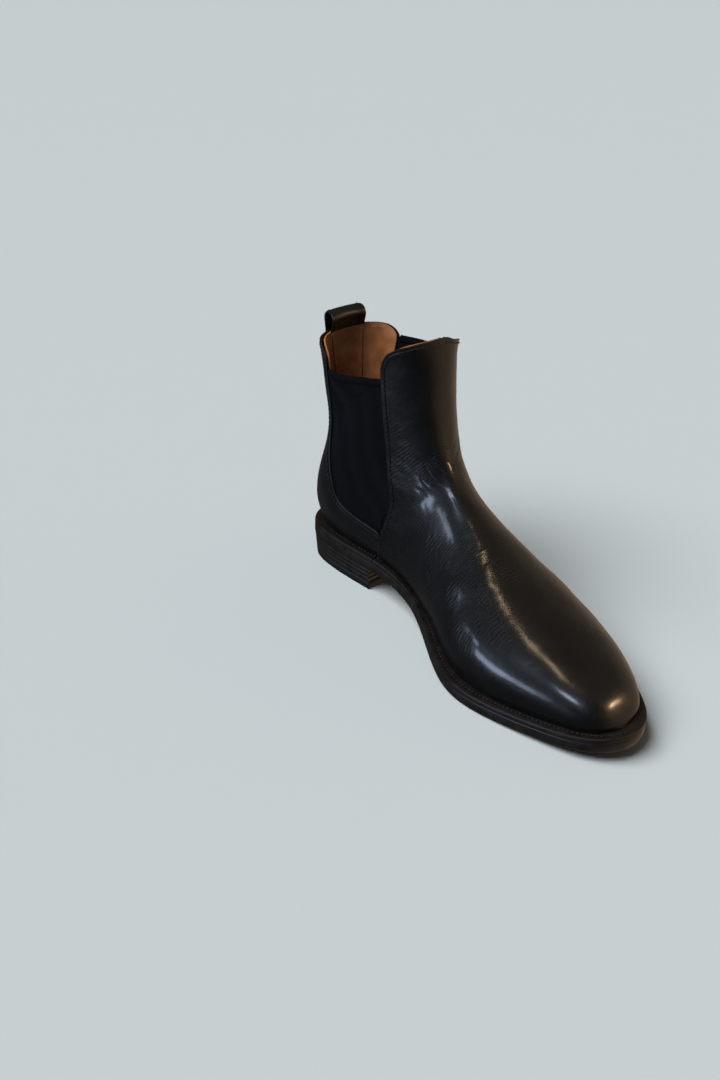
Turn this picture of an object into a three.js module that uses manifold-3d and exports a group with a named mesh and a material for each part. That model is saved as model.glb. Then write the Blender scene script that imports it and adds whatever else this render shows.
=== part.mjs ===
// A men's chelsea boot for the left foot, as an assembly of leather, elastic, cork, steel and rubber pieces.
// Millimetres, +Z up. While it is being shaped, the middle of the heel's back edge is the origin and the toe
// points along -Y; the last lines move the whole boot so that its origin is under the middle of its box.
import * as THREE from 'three';
import { mergeVertices } from 'three/addons/utils/BufferGeometryUtils.js';
import Module from 'manifold-3d';

const wasm = await Module();
wasm.setup();

// ---------------------------------------------------------------- driving dimensions

const SOLE_LENGTH = 305;
const OUTSOLE = 7;
const WELT = 3.5;
const HEEL_HEIGHT = 17;
const HEEL_LENGTH = 76;
const BALL = 205;
const TOE_SPRING = 8;
const TOE_BOW = 9.4;
const GAP = 0.3;

const UPPER = { from: 0, to: 1.4 };
const MIDDLE = { from: 2.2, to: 3.1 };
const LINING = { from: 3.8, to: 5 };
const BACK_BAND = { from: 5.4, to: 6.3 };
const BACKSTAY = { from: -1.5, to: -0.5 };
const INNER_TAIL = { from: 1.8, to: 3.4 };
const OUTER_TAIL = { from: -3.6, to: -2 };

// The tape: how far it reaches down the gore and stands over its edge, the depths of its two plies, and how
// much of a turn it keeps clear of the leather's edges.
const BINDING = { width: 3.5, over: 1.2, under: 0.7, outside: 1.3, inside: 4, thickness: 0.4,
  clear: 0.008 };

// Half widths of the strips up the back, as turns round a section, and where they start and end. A turn on
// the outside covers less leather, so the strips reach further that way.
const STAY = { half: 0.034, flare: 0.01, flareBelow: 14, bottom: 12.5, top: 18 };
const BAND = { half: 0.052, bottom: 13 };
const TAIL = { half: 0.047, outerBottom: 17.1, innerBottom: 17.3, top: 18.2 };
const OUTSIDE_REACH = 1.1;

const TOP_PIECE = 6;
const LIFTS = 3;
const HEEL_TAPER = 1.8;
const NAIL_RADIUS = 1.1;
const NAIL_HOLE_RADIUS = 1.5;
const NAIL_TIP = 22;
const NAIL_PLACES = [[0, 12], [-18, 28], [18, 28], [-20, 56], [22, 56]];

// Pieces inside the sole: insets from its edge, and the shank's place and half widths.
const RIM = { outer: 0.4, inner: 10.5 };
const RIB = { outer: 11, inner: 13 };
const FILLER = { inset: 13.8, waistEnd: 170 };
const INSOLE = { inset: 13.2, toeInset: 2.4, thickness: 2.5 };
const SOCK = { inset: 13.8, toeInset: 4, thickness: 1.1 };
const SHANK = { from: 58, length: 106, x: 3, half: 7, narrowing: 2, thickness: 1.2 };
const SEAT = 80;

// The loop's front leg leans back to its foot, in line with the tail sewn in between leather and lining.
const LOOP = { x: 1, width: 27, height: 179.5, hinge: 167.8, back: -1, front: 10.4, foot: 6.2, strap: 1.6 };

const COLOUR = {
  calf: 0x17181b, elastic: 0x15171c, tape: 0x1d1e22, lining: 0x9a5f3c, board: 0xb79468, cork: 0xa9794c,
  edge: 0x221b17, rubber: 0x1b1a19, steel: 0x9aa0a6, brass: 0xb08d4a, counter: 0x8f7a5e,
};

// ---------------------------------------------------------------- splines and the sole's edge

// One point of a uniform cubic B-spline through the rows of a table of controls, at station t.
function spline(controls, t, before, after) {
  const last = controls.length - 1;
  const i = Math.min(Math.floor(Math.max(t, 0)), last - 1);
  const u = Math.min(Math.max(t - i, 0), 1);
  const row = (k) => (k < 0 ? before : k > last ? after : controls[k]);
  const weights = [(1 - u) ** 3, 3 * u ** 3 - 6 * u ** 2 + 4, -3 * u ** 3 + 3 * u ** 2 + 3 * u + 1, u ** 3];
  return controls[0].map((_, c) => weights.reduce((sum, w, k) => sum + (w * row(i - 1 + k)[c]) / 6, 0));
}

// The sole's half outline: distance from the heel's back, half width inside, half width outside.
const SOLE_EDGE = [
  [-2.5, 0, 0], [5, 21, 17], [18, 30.5, 27], [40, 31.5, 31.5], [65, 29, 34.5], [95, 25, 37.5],
  [125, 26.5, 43], [155, 40, 52], [185, 54, 58], [212, 55, 58], [240, 47, 51.5], [265, 38.5, 41.5],
  [285, 30.5, 30.5], [300, 18.5, 18.5], [307.5, 0, 0],
];
const TOE_STATION = SOLE_EDGE.length - 1;
const ROUND = 2 * TOE_STATION;

const mirrored = ([s, medial, lateral]) => [s, -medial, -lateral];

// A point on the sole's edge, as [x, s]. The station runs from the heel along the inside to the toe, and back
// along the outside.
function edgePoint(station) {
  const round = ((station % ROUND) + ROUND) % ROUND;
  const inside = round < TOE_STATION;
  const t = inside ? round : ROUND - round;
  const before = mirrored(SOLE_EDGE[1]);
  const after = mirrored(SOLE_EDGE[TOE_STATION - 1]);
  const [s, medial, lateral] = spline(SOLE_EDGE, t, before, after);
  const bow = TOE_BOW * (Math.max(s - 60, 0) / 245) ** 2;
  return [(inside ? -medial : lateral) - bow, s];
}

// The same point moved inwards by a distance, square to the edge.
function insetPoint(station, inset) {
  const [x, s] = edgePoint(station);
  const [x0, s0] = edgePoint(station - 0.02);
  const [x1, s1] = edgePoint(station + 0.02);
  const length = Math.hypot(x1 - x0, s1 - s0);
  return [x + (inset * (s1 - s0)) / length, s - (inset * (x1 - x0)) / length];
}

// Height of the outsole's underside: heel seat, waist, flat tread and toe spring.
function soleBottom(s) {
  const waist = Math.min(Math.max((BALL - s) / (BALL - HEEL_LENGTH), 0), 1);
  const spring = Math.max((s - BALL) / (SOLE_LENGTH - BALL), 0);
  return HEEL_HEIGHT * waist * waist * (3 - 2 * waist) + TOE_SPRING * spring ** 1.8;
}

const featherHeight = (s) => soleBottom(s) + OUTSOLE + WELT;

// The station on the inside edge that lies a given distance from the heel's back.
function stationAt(distance) {
  let low = 0;
  let high = TOE_STATION;
  for (let k = 0; k < 40; k += 1) {
    const middle = (low + high) / 2;
    if (edgePoint(middle)[1] < distance) low = middle;
    else high = middle;
  }
  return low;
}

// ---------------------------------------------------------------- the last

// Sections that fan out from the toe tip over the instep to the shaft. Each lies in a plane through the X
// direction, from a point on the back or bottom line up to a point on the ridge. The columns are: ridge s,
// ridge z, bottom s, bottom z, ridge x, bottom x, half width inside, half width outside, height of the widest
// place as a share, width at the bottom as a share, hollow of the shoulders, and the exponent of the curve.
const LAST = [
  [297, 17, 297, 17, -9, -9, 0, 0, 0.3, 0.96, 0, 2.2],
  [295.5, 21, 292, 15, -9, -9, 16.5, 18.5, 0.3, 0.96, 0, 2.3],
  [287, 34, 281, 14, -8.5, -8.5, 25, 26.5, 0.3, 0.96, 0.03, 2.4],
  [270, 41, 264, 12, -8, -6.5, 33, 35.5, 0.3, 0.96, 0.06, 2.4],
  [247, 48, 243, 9.5, -7.5, -4, 42, 44, 0.32, 0.96, 0.1, 2.3],
  [222, 56, 218, 8, -7, -2, 50, 49, 0.33, 0.96, 0.13, 2.2],
  [196, 67, 190, 8.5, -7, 0, 51.5, 51, 0.33, 0.95, 0.15, 2.1],
  [171, 79, 158, 11, -6, 4, 42.5, 44.5, 0.34, 0.92, 0.16, 2],
  [149, 91.5, 122, 15, -5, 6, 32, 36.5, 0.36, 0.86, 0.14, 2],
  [133, 104, 88, 15, -4, 5, 28, 33, 0.38, 0.72, 0.1, 2],
  [123, 118, 52, 12, -3, 2, 30, 32, 0.38, 0.45, 0.05, 2.1],
  [117.5, 134, 20, 13, -2, 0, 34, 32.5, 0.38, 0.15, 0.02, 2.2],
  [114.5, 149, 2, 27, -1.5, 0, 36, 32.5, 0.4, 0, 0, 2.2],
  [112.5, 165, 1, 50, -1, 0, 36, 31.5, 0.44, 0, 0, 2.2],
  [111, 175, 9, 74, -0.5, 0, 35.5, 30, 0.48, 0, 0, 2.2],
  [110, 181, 14, 96, 0, 0, 35, 28.5, 0.5, 0, 0, 2.2],
  [109.5, 185, 10.5, 118, 0, 0, 35.5, 29.5, 0.5, 0, 0, 2.2],
  [109, 189, 6, 140, 0, 0.5, 37, 32.5, 0.5, 0, 0, 2.2],
  [108.5, 192, 2.5, 160, 0, 1.5, 40, 35.5, 0.5, 0, 0, 2.2],
  [108.5, 196, 1, 178, 0, 2.5, 43.5, 38.5, 0.5, 0, 0, 2.2],
];

const beyond = (end, next) => end.map((value, c) => 2 * value - next[c]);
const BEFORE_TOE = beyond(LAST[0], LAST[1]);
const AFTER_TOP = beyond(LAST[LAST.length - 1], LAST[LAST.length - 2]);

// A point on the upper's outer face. Across a section, q is 0 at the back or bottom line, 0.5 on the ridge
// and 1 at the back again; below 0.5 is the inside of the foot. A section's curve is a superellipse above its
// widest place and a cut superellipse below it.
function lastPoint(t, q) {
  const [ridgeS, ridgeZ, backS, backZ, ridgeX, backX, inside, outside, wide, foot, hollow, p] =
    spline(LAST, t, BEFORE_TOE, AFTER_TOP);
  const turn = q - Math.floor(q);
  const medial = turn < 0.5;
  const along = medial ? 2 * turn : 2 - 2 * turn;
  const joint = wide / (wide + (1 - wide) * 1.1);
  let across;
  let height;
  if (along < joint) {
    const most = Math.acos(Math.min(foot, 0.995) ** (p / 2));
    const angle = most * (1 - along / joint);
    across = Math.cos(angle) ** (2 / p);
    height = wide * (1 - (Math.sin(angle) / Math.sin(most)) ** (2 / p));
  } else {
    const angle = (((along - joint) / (1 - joint)) * Math.PI) / 2;
    const rise = Math.sin(angle) ** (2 / p);
    across = Math.max(Math.cos(angle), 0) ** (2 / p) * (1 - hollow * rise * rise);
    height = wide + (1 - wide) * rise;
  }
  const x = backX + (ridgeX - backX) * height + (medial ? -inside : outside) * across;
  const s = backS + (ridgeS - backS) * height;
  const z = backZ + (ridgeZ - backZ) * height;
  return new THREE.Vector3(x, -s, z);
}

// The same point moved a depth into the wall, and kept above the welt.
function wallPoint(t, q, depth) {
  const alongT = lastPoint(t + 0.02, q).sub(lastPoint(t - 0.02, q));
  const alongQ = lastPoint(t, q + 0.004).sub(lastPoint(t, q - 0.004));
  const point = lastPoint(t, q).addScaledVector(alongQ.cross(alongT).normalize(), -depth);
  point.z = Math.max(point.z, featherHeight(-point.y) + GAP);
  return point;
}

// How far round a section, from its bottom line on one side, the wall meets the top of the welt.
function featherTurn(t, side) {
  let low = 0;
  let high = 0.5;
  const turn = (value) => (side < 0 ? value : 1 - value);
  const above = (value) => {
    const point = lastPoint(t, turn(value));
    return point.z > featherHeight(-point.y) + GAP;
  };
  if (above(0)) return turn(0);
  for (let k = 0; k < 30; k += 1) {
    const middle = (low + high) / 2;
    if (above(middle)) high = middle;
    else low = middle;
  }
  return turn(high);
}

// ---------------------------------------------------------------- pattern lines on the last

// All lines are broken lines of [t, q], with q counted from the back on both sides. The side seam rises from
// the welt to the lowest corner of the gore.
const SEAM = [[9.45, 0.08], [9.53, 0.13], [9.62, 0.175]];
const VAMP_SIDE = [
  ...SEAM, [9.75, 0.218], [9.9, 0.25], [10.1, 0.27], [10.4, 0.287], [11, 0.305], [11.5, 0.316], [12, 0.323],
  [13, 0.326], [14, 0.324], [15, 0.321], [16.2, 0.322],
];
// The vamp's back edge, which is also the gore's front edge, and then the front part of the topline.
const VAMP_EDGE = {
  medial: [...VAMP_SIDE, [16.8, 0.33], [17.2, 0.34], [17.5, 0.35], [17.8, 0.372], [18, 0.4], [18.14, 0.43],
    [18.27, 0.46], [18.4, 0.49]],
  lateral: [...VAMP_SIDE, [16.5, 0.332], [16.8, 0.35], [17.1, 0.38], [17.5, 0.425], [17.8, 0.448], [18, 0.46],
    [18.14, 0.469], [18.27, 0.48], [18.4, 0.49]],
};
// The quarter's front edge, along the gore's bottom and back edges, and then the back part of the topline.
const BACK_TOPLINE = [[17.5, 0.162], [17.8, 0.15], [18, 0.135], [18.14, 0.115], [18.24, 0.07], [18.27, 0.03]];
const QUARTER_EDGE = {
  medial: [...SEAM, [9.75, 0.183], [10.1, 0.182], [10.8, 0.176], [11.2, 0.174], [11.6, 0.177], [12.1, 0.183],
    [12.8, 0.185], [13.4, 0.178], [14.2, 0.162], [14.9, 0.151], [16, 0.146], [16.9, 0.153], ...BACK_TOPLINE],
  lateral: [...SEAM, [9.75, 0.183], [10.1, 0.18], [10.8, 0.169], [11.5, 0.165], [12.8, 0.166], [14.2, 0.156],
    [15.2, 0.149], [16, 0.15], [16.9, 0.157], ...BACK_TOPLINE],
};
const SEAM_BOTTOM = 9.45;
const TOPLINE_BACK = 18.27;
const TOPLINE_FRONT = 18.4;
// The gore's top edge, which goes on under the vamp at its front end.
const GORE_TOP = {
  medial: [[15.2, 0.345], [15.5, 0.313], [15.9, 0.286], [16.3, 0.252], [16.7, 0.202], [16.95, 0.153]],
  lateral: [[15.75, 0.346], [16.1, 0.318], [16.4, 0.295], [16.7, 0.27], [17, 0.241], [17.2, 0.218],
    [17.4, 0.184], [17.5, 0.164]],
};
const HEEL_CLOSES = 12.05;
const BACK_SEAM = 0.0008;
const SEAM_HALF_GAP = 0.0014;
const LAP = 0.024;

// The height of a broken line at t.
function lineAt(line, t) {
  const k = Math.min(Math.max(line.findIndex(([place]) => place >= t), 1), line.length - 1);
  const [t0, q0] = line[k - 1];
  const [t1, q1] = line[k];
  return q0 + ((q1 - q0) * (Math.min(Math.max(t, t0), t1) - t0)) / (t1 - t0);
}

const wordOf = (side) => (side < 0 ? 'medial' : 'lateral');
const sided = (q, side) => (side < 0 ? q : 1 - q);
const steps = (from, to, count) => (
  Array.from({ length: count + 1 }, (_, k) => from + ((to - from) * k) / count)
);
const VAMP_ROWS = [0.12, 0.4, 0.8, 1.4, 2, ...steps(2.8, 8.2, 6), 8.9, SEAM_BOTTOM];
const SEAM_ROWS = [9.53, 9.62, 9.75, 9.9];
const SHAFT_ROWS = [10.1, 10.4, 10.8, 11.2, 11.5, 11.75, 11.92, HEEL_CLOSES, 12.5, 13, 13.6, 14.2, 14.9, 15.5,
  16.3, 16.9];
const TOPLINE_ROWS = [17.2, 17.5, 17.8, 18, 18.14, 18.24, TOPLINE_BACK];

// ---------------------------------------------------------------- closed shells

// A closed solid between two faces over the same grid of places; its four sides are closed with walls. Faces
// that shrink to nothing at a corner are left out, and the whole is turned so that it faces out.
function shell(rows, columns, outer, inner, materialName, name) {
  const positions = [];
  for (const face of [outer, inner]) {
    for (let i = 0; i <= rows; i += 1) {
      for (let j = 0; j <= columns; j += 1) positions.push(...face(i, j).toArray());
    }
  }
  const at = (face, i, j) => face * (rows + 1) * (columns + 1) + i * (columns + 1) + j;
  const triangles = [];
  const quad = (a, b, c, d) => triangles.push([a, b, c], [a, c, d]);
  for (let i = 0; i < rows; i += 1) {
    for (let j = 0; j < columns; j += 1) {
      quad(at(0, i, j), at(0, i, j + 1), at(0, i + 1, j + 1), at(0, i + 1, j));
      quad(at(1, i, j), at(1, i + 1, j), at(1, i + 1, j + 1), at(1, i, j + 1));
    }
    quad(at(0, i, 0), at(0, i + 1, 0), at(1, i + 1, 0), at(1, i, 0));
    quad(at(0, i, columns), at(1, i, columns), at(1, i + 1, columns), at(0, i + 1, columns));
  }
  for (let j = 0; j < columns; j += 1) {
    quad(at(0, 0, j), at(1, 0, j), at(1, 0, j + 1), at(0, 0, j + 1));
    quad(at(0, rows, j), at(0, rows, j + 1), at(1, rows, j + 1), at(1, rows, j));
  }
  return piece(closed(positions, triangles), materialName, name);
}

// One closed geometry from loose positions and triangles: equal corners merged, faces pointing out.
function closed(positions, triangles) {
  const loose = new THREE.BufferGeometry();
  loose.setAttribute('position', new THREE.Float32BufferAttribute(positions, 3));
  loose.setIndex(triangles.flat());
  const merged = mergeVertices(loose, 1e-3);
  const index = Array.from(merged.index.array);
  const kept = [];
  for (let k = 0; k < index.length; k += 3) {
    const [a, b, c] = index.slice(k, k + 3);
    if (a !== b && b !== c && c !== a) kept.push([a, b, c]);
  }
  const corner = (k) => new THREE.Vector3().fromBufferAttribute(merged.attributes.position, k);
  const volume = kept.reduce((sum, [a, b, c]) => sum + corner(a).dot(corner(b).cross(corner(c))), 0);
  merged.setIndex(kept.flatMap(([a, b, c]) => (volume < 0 ? [a, c, b] : [a, b, c])));
  return merged;
}

const FINISH = {
  calf: [COLOUR.calf, 0.35, 0], elastic: [COLOUR.elastic, 0.9, 0], tape: [COLOUR.tape, 0.8, 0],
  lining: [COLOUR.lining, 0.6, 0], board: [COLOUR.board, 0.9, 0], cork: [COLOUR.cork, 0.95, 0],
  edge: [COLOUR.edge, 0.45, 0], rubber: [COLOUR.rubber, 0.8, 0], steel: [COLOUR.steel, 0.35, 1],
  brass: [COLOUR.brass, 0.35, 1], counter: [COLOUR.counter, 0.9, 0],
};

function piece(geometry, materialName, name) {
  const [color, roughness, metalness] = FINISH[materialName];
  const mesh = new THREE.Mesh(geometry, new THREE.MeshStandardMaterial({ color, roughness, metalness }));
  mesh.name = name;
  return mesh;
}

// ---------------------------------------------------------------- the upper, its stiffeners and its lining

// A layer of the wall over rows of t, between two limits of q that depend on t.
function wallLayer(rows, columns, low, high, layer, materialName, name) {
  const place = (i, j) => low(rows[i]) + ((high(rows[i]) - low(rows[i])) * j) / columns;
  const face = (depth) => (i, j) => wallPoint(rows[i], place(i, j), depth);
  return shell(rows.length - 1, columns, face(layer.from), face(layer.to), materialName, name);
}

function vampLimit(side, margin) {
  return (t) => {
    if (t < SEAM_BOTTOM) return featherTurn(t, side);
    return sided(lineAt(VAMP_EDGE[wordOf(side)], t) + margin, side);
  };
}

function vampLayer(layer, materialName, name) {
  const rows = [...VAMP_ROWS, ...SEAM_ROWS, ...SHAFT_ROWS, ...TOPLINE_ROWS, TOPLINE_FRONT];
  const limits = [-1, 1].map((side) => vampLimit(side, SEAM_HALF_GAP));
  return wallLayer(rows, 14, ...limits, layer, materialName, name);
}

function quarterLayer(side, layer, materialName, name) {
  const rows = [...SEAM_ROWS, ...SHAFT_ROWS, ...TOPLINE_ROWS];
  const low = (t) => sided(Math.max(sided(featherTurn(t, side), side), BACK_SEAM), side);
  const high = (t) => sided(lineAt(QUARTER_EDGE[wordOf(side)], t) - SEAM_HALF_GAP, side);
  return wallLayer(rows, 6, low, high, layer, materialName, name);
}

function gore(side) {
  const word = wordOf(side);
  const top = GORE_TOP[word];
  const rows = [...SEAM_ROWS.slice(-2), ...SHAFT_ROWS.filter((t) => t < top[0][0]), ...top.map(([t]) => t)];
  const low = (t) => sided(lineAt(QUARTER_EDGE[word], t) - LAP, side);
  const high = (t) => sided(Math.min(lineAt(VAMP_EDGE[word], t) + LAP, t < top[0][0] ? 1 : lineAt(top, t)),
    side);
  return wallLayer(rows, 6, low, high, MIDDLE, 'elastic', `gore_${word}`);
}

// The tape folded over the gore's top edge: a U in section, carried along the edge from leather to leather.
// The section's corners are a distance above the edge and a depth in the wall.
function goreBinding(side) {
  const { width, over, under, outside, inside, thickness, clear } = BINDING;
  const section = [[-width, outside], [over, outside], [over, inside], [-width, inside],
    [-width, inside - thickness], [under, inside - thickness], [under, outside + thickness],
    [-width, outside + thickness]];
  const word = wordOf(side);
  const edge = GORE_TOP[word].map(([t, q]) => [q, t]).reverse();
  const from = edge[0][0] + clear;
  const to = lineAt(VAMP_EDGE[word], edge[edge.length - 1][1]) - clear;
  const turns = [from, ...edge.map(([q]) => q).filter((q) => q > from + clear && q < to - clear), to];
  const rings = turns.map((turn) => {
    const q = sided(turn, side);
    const t = lineAt(edge, turn);
    const perMillimetre = 0.1 / lastPoint(t + 0.05, q).distanceTo(lastPoint(t - 0.05, q));
    return section.map(([rise, depth]) => wallPoint(t + rise * perMillimetre, q, depth));
  });
  return piece(closed(...sweptRings(rings, section)), 'tape', `gore_binding_${word}`);
}

// Loose positions and triangles of a section carried through a list of rings, with flat ends.
function sweptRings(rings, section) {
  const count = section.length;
  const positions = rings.flatMap((ring) => ring.flatMap((point) => point.toArray()));
  const triangles = [];
  for (let i = 0; i < rings.length - 1; i += 1) {
    for (let j = 0; j < count; j += 1) {
      const a = i * count + j;
      const b = i * count + ((j + 1) % count);
      triangles.push([a, b, b + count], [a, b + count, a + count]);
    }
  }
  const contour = section.map(([x, y]) => new THREE.Vector2(x, y));
  const caps = THREE.ShapeUtils.triangulateShape(contour, []);
  const clockwise = THREE.ShapeUtils.isClockWise(contour);
  const last = (rings.length - 1) * count;
  for (const [a, b, c] of caps) {
    triangles.push(clockwise ? [a, b, c] : [a, c, b], clockwise ? [a + last, c + last, b + last]
      : [a + last, b + last, c + last]);
  }
  return [positions, triangles];
}

// The stiffener round the heel, from the welt up to the back of the ankle, and forwards along both sides.
function heelCounter() {
  const columns = 16;
  const rows = 5;
  const face = (depth) => (i, j) => {
    const around = (2 * j) / columns - 1;
    const side = around < 0 ? -1 : 1;
    const reach = Math.abs(around);
    const bottomT = HEEL_CLOSES - 1.6 * reach ** 2.2;
    const bottomQ = Math.max(sided(featherTurn(bottomT, side), side), 0.001) * Math.min(reach * 20, 1);
    const topT = 13.6 - 2.6 * reach ** 2;
    const topQ = 0.118 * reach;
    const up = i / rows;
    const q = bottomQ + (topQ - bottomQ) * up;
    return wallPoint(bottomT + (topT - bottomT) * up, side < 0 ? q : -q, depth);
  };
  return shell(rows, columns, face(MIDDLE.from), face(MIDDLE.to), 'counter', 'heel_counter');
}

function toePuff() {
  const rows = VAMP_ROWS.filter((t) => t < 2.5);
  const limits = [-1, 1].map((side) => (t) => featherTurn(t, side));
  return wallLayer(rows, 14, ...limits, MIDDLE, 'counter', 'toe_puff');
}

// A strip up the back, from q = -half on the outside to q = +half on the inside.
function backStrip(from, to, half, layer, materialName, name) {
  const between = [...SHAFT_ROWS, ...TOPLINE_ROWS].filter((t) => t > from + 0.05 && t < to - 0.05);
  const rows = [from, ...between, to];
  return wallLayer(rows, 6, (t) => -half(t) * OUTSIDE_REACH, half, layer, materialName, name);
}

// ---------------------------------------------------------------- the pull loop

function pullLoop() {
  const { x, width, height, hinge, back, front, foot, strap } = LOOP;
  const outerRadius = (front - back) / 2;
  const innerRadius = outerRadius - strap;
  const middle = (front + back) / 2;
  const crown = height - outerRadius;
  const outline = new THREE.Shape();
  outline.moveTo(back, hinge);
  outline.lineTo(back, crown);
  outline.absarc(middle, crown, outerRadius, Math.PI, 0, true);
  outline.lineTo(foot, hinge);
  outline.lineTo(foot - strap, hinge);
  outline.absarc(middle, crown, innerRadius, 0, Math.PI, false);
  outline.lineTo(back + strap, hinge);
  const settings = { depth: width, bevelEnabled: false, curveSegments: 8 };
  const geometry = new THREE.ExtrudeGeometry(outline, settings);
  // The profile was drawn as (s, z) and extruded along the third axis, which becomes X.
  geometry.applyMatrix4(new THREE.Matrix4().set(0, 0, 1, x - width / 2, -1, 0, 0, 0, 0, 1, 0, 0, 0, 0, 0, 1));
  return piece(clean(geometry), 'calf', 'pull_loop');
}

// A tail of the loop's strap, from just under the loop down along the wall.
function loopTail(layer, bottom, name) {
  return backStrip(bottom, TAIL.top, () => TAIL.half, layer, 'calf', name);
}

// ---------------------------------------------------------------- the bottom of the boot

// Merges a library geometry's corners and drops what is only for shading.
function clean(geometry) {
  geometry.deleteAttribute('normal');
  geometry.deleteAttribute('uv');
  const merged = mergeVertices(geometry, 1e-4);
  return closed(Array.from(merged.attributes.position.array), chunk(Array.from(merged.index.array)));
}

const chunk = (index) => Array.from({ length: index.length / 3 }, (_, k) => index.slice(3 * k, 3 * k + 3));

// A plate across the sole between two stations, with a height above the outsole's underside and an inset at
// its lower and its upper face.
function plate({
  from = 0, to = TOE_STATION, low, high, insetLow, insetHigh, followSole = true, finish, name,
}) {
  const rows = Math.round((to - from) * 2.5);
  const station = (i) => from + ((to - from) * i) / rows;
  const face = (height, inset) => (i, j) => {
    const [x, s] = insetPoint(j === 0 ? station(i) : ROUND - station(i), inset(edgePoint(station(i))[1]));
    return new THREE.Vector3(x, -s, height + (followSole ? soleBottom(s) : 0));
  };
  return shell(rows, 1, face(high, insetHigh), face(low, insetLow), finish, name);
}

// A strip that follows the sole's edge between two stations of the whole outline.
function rim({ from, to, count, low, high, outer, inner, finish, name }) {
  const face = (height) => (i, j) => {
    const [x, s] = insetPoint(from + ((to - from) * i) / count, j === 0 ? outer : inner);
    return new THREE.Vector3(x, -s, height + soleBottom(s));
  };
  return shell(count, 1, face(high), face(low), finish, name);
}

// A strip along the waist, under the arch, with straight sides.
function shankPlate() {
  const rows = 12;
  const bottom = OUTSOLE + GAP;
  const face = (height) => (i, j) => {
    const s = SHANK.from + (SHANK.length * i) / rows;
    const half = SHANK.half - SHANK.narrowing * Math.abs((2 * i) / rows - 1) ** 3;
    return new THREE.Vector3(SHANK.x + (j === 0 ? -half : half), -s, height + soleBottom(s));
  };
  return shell(rows, 1, face(bottom + SHANK.thickness), face(bottom), 'steel', 'shank');
}

function solidOf(mesh) {
  return new wasm.Manifold(new wasm.Mesh({
    numProp: 3,
    vertProperties: new Float32Array(mesh.geometry.attributes.position.array),
    triVerts: new Uint32Array(mesh.geometry.index.array),
  }));
}

function nailShape(radius, bottom, top, [x, s]) {
  const geometry = new THREE.CylinderGeometry(radius, radius, top - bottom, 8);
  geometry.rotateX(Math.PI / 2);
  geometry.translate(x, -s, (top + bottom) / 2);
  return clean(geometry);
}

// The same plate with a hole for every heel nail.
function drilled(mesh) {
  let solid = solidOf(mesh);
  for (const place of NAIL_PLACES) {
    solid = solid.subtract(solidOf({ geometry: nailShape(NAIL_HOLE_RADIUS, -1, NAIL_TIP + 0.4, place) }));
  }
  const cut = solid.getMesh();
  mesh.geometry = closed(Array.from(cut.vertProperties), chunk(Array.from(cut.triVerts)));
  return mesh;
}

function heelPieces() {
  const breast = stationAt(HEEL_LENGTH);
  const insetAt = (z) => () => 0.6 + (HEEL_TAPER * (HEEL_HEIGHT - z)) / HEEL_HEIGHT;
  const layer = (low, high, finish, name) => drilled(plate({
    to: breast, low, high, insetLow: insetAt(low), insetHigh: insetAt(high), followSole: false, finish, name,
  }));
  const pieces = [layer(0, TOP_PIECE, 'rubber', 'top_piece')];
  const pitch = (HEEL_HEIGHT - TOP_PIECE) / LIFTS;
  for (let k = 0; k < LIFTS; k += 1) {
    const low = TOP_PIECE + GAP + k * pitch;
    pieces.push(layer(low, low + pitch - GAP, 'edge', `heel_lift_${LIFTS - k}`));
  }
  NAIL_PLACES.forEach((place, k) => {
    pieces.push(piece(nailShape(NAIL_RADIUS, 0.6, NAIL_TIP, place), 'brass', `heel_nail_${k + 1}`));
  });
  return pieces;
}

function solePieces() {
  const seat = stationAt(SEAT);
  const forefoot = stationAt(FILLER.waistEnd);
  const feather = OUTSOLE + WELT;
  const none = () => 0;
  const rimSizes = { ...RIM, low: OUTSOLE + GAP, high: feather, finish: 'edge' };
  const fillerInset = () => FILLER.inset;
  const filler = { high: feather - 0.1, insetLow: fillerInset, insetHigh: fillerInset, finish: 'cork' };
  // A board's inset grows towards the toe, where the wall leans in.
  const board = ({ inset, toeInset }) => (s) => inset + toeInset * Math.max((s - 240) / 60, 0);
  const insoleTop = feather + GAP + INSOLE.thickness;
  return [
    drilled(plate({
      low: GAP, high: OUTSOLE, insetLow: none, insetHigh: none, finish: 'edge', name: 'outsole',
    })),
    rim({ ...rimSizes, from: seat, to: ROUND - seat, count: 44, name: 'welt' }),
    rim({ ...rimSizes, from: seat - 0.03, to: -seat + 0.03, count: 20, name: 'heel_rand' }),
    rim({ ...RIB, low: OUTSOLE + GAP, high: feather - 0.1, from: seat, to: ROUND - seat, count: 44,
      finish: 'board', name: 'insole_rib' }),
    plate({ ...filler, from: forefoot, low: OUTSOLE + GAP, name: 'cork_filler_forefoot' }),
    plate({
      ...filler, to: forefoot - 0.1, low: OUTSOLE + SHANK.thickness + 2 * GAP, name: 'cork_filler_waist',
    }),
    shankPlate(),
    plate({ low: feather + GAP, high: insoleTop, insetLow: board(INSOLE), insetHigh: board(INSOLE),
      finish: 'board', name: 'insole' }),
    plate({ low: insoleTop + GAP, high: insoleTop + GAP + SOCK.thickness, insetLow: board(SOCK),
      insetHigh: board(SOCK), finish: 'lining', name: 'sock_lining' }),
  ];
}

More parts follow.
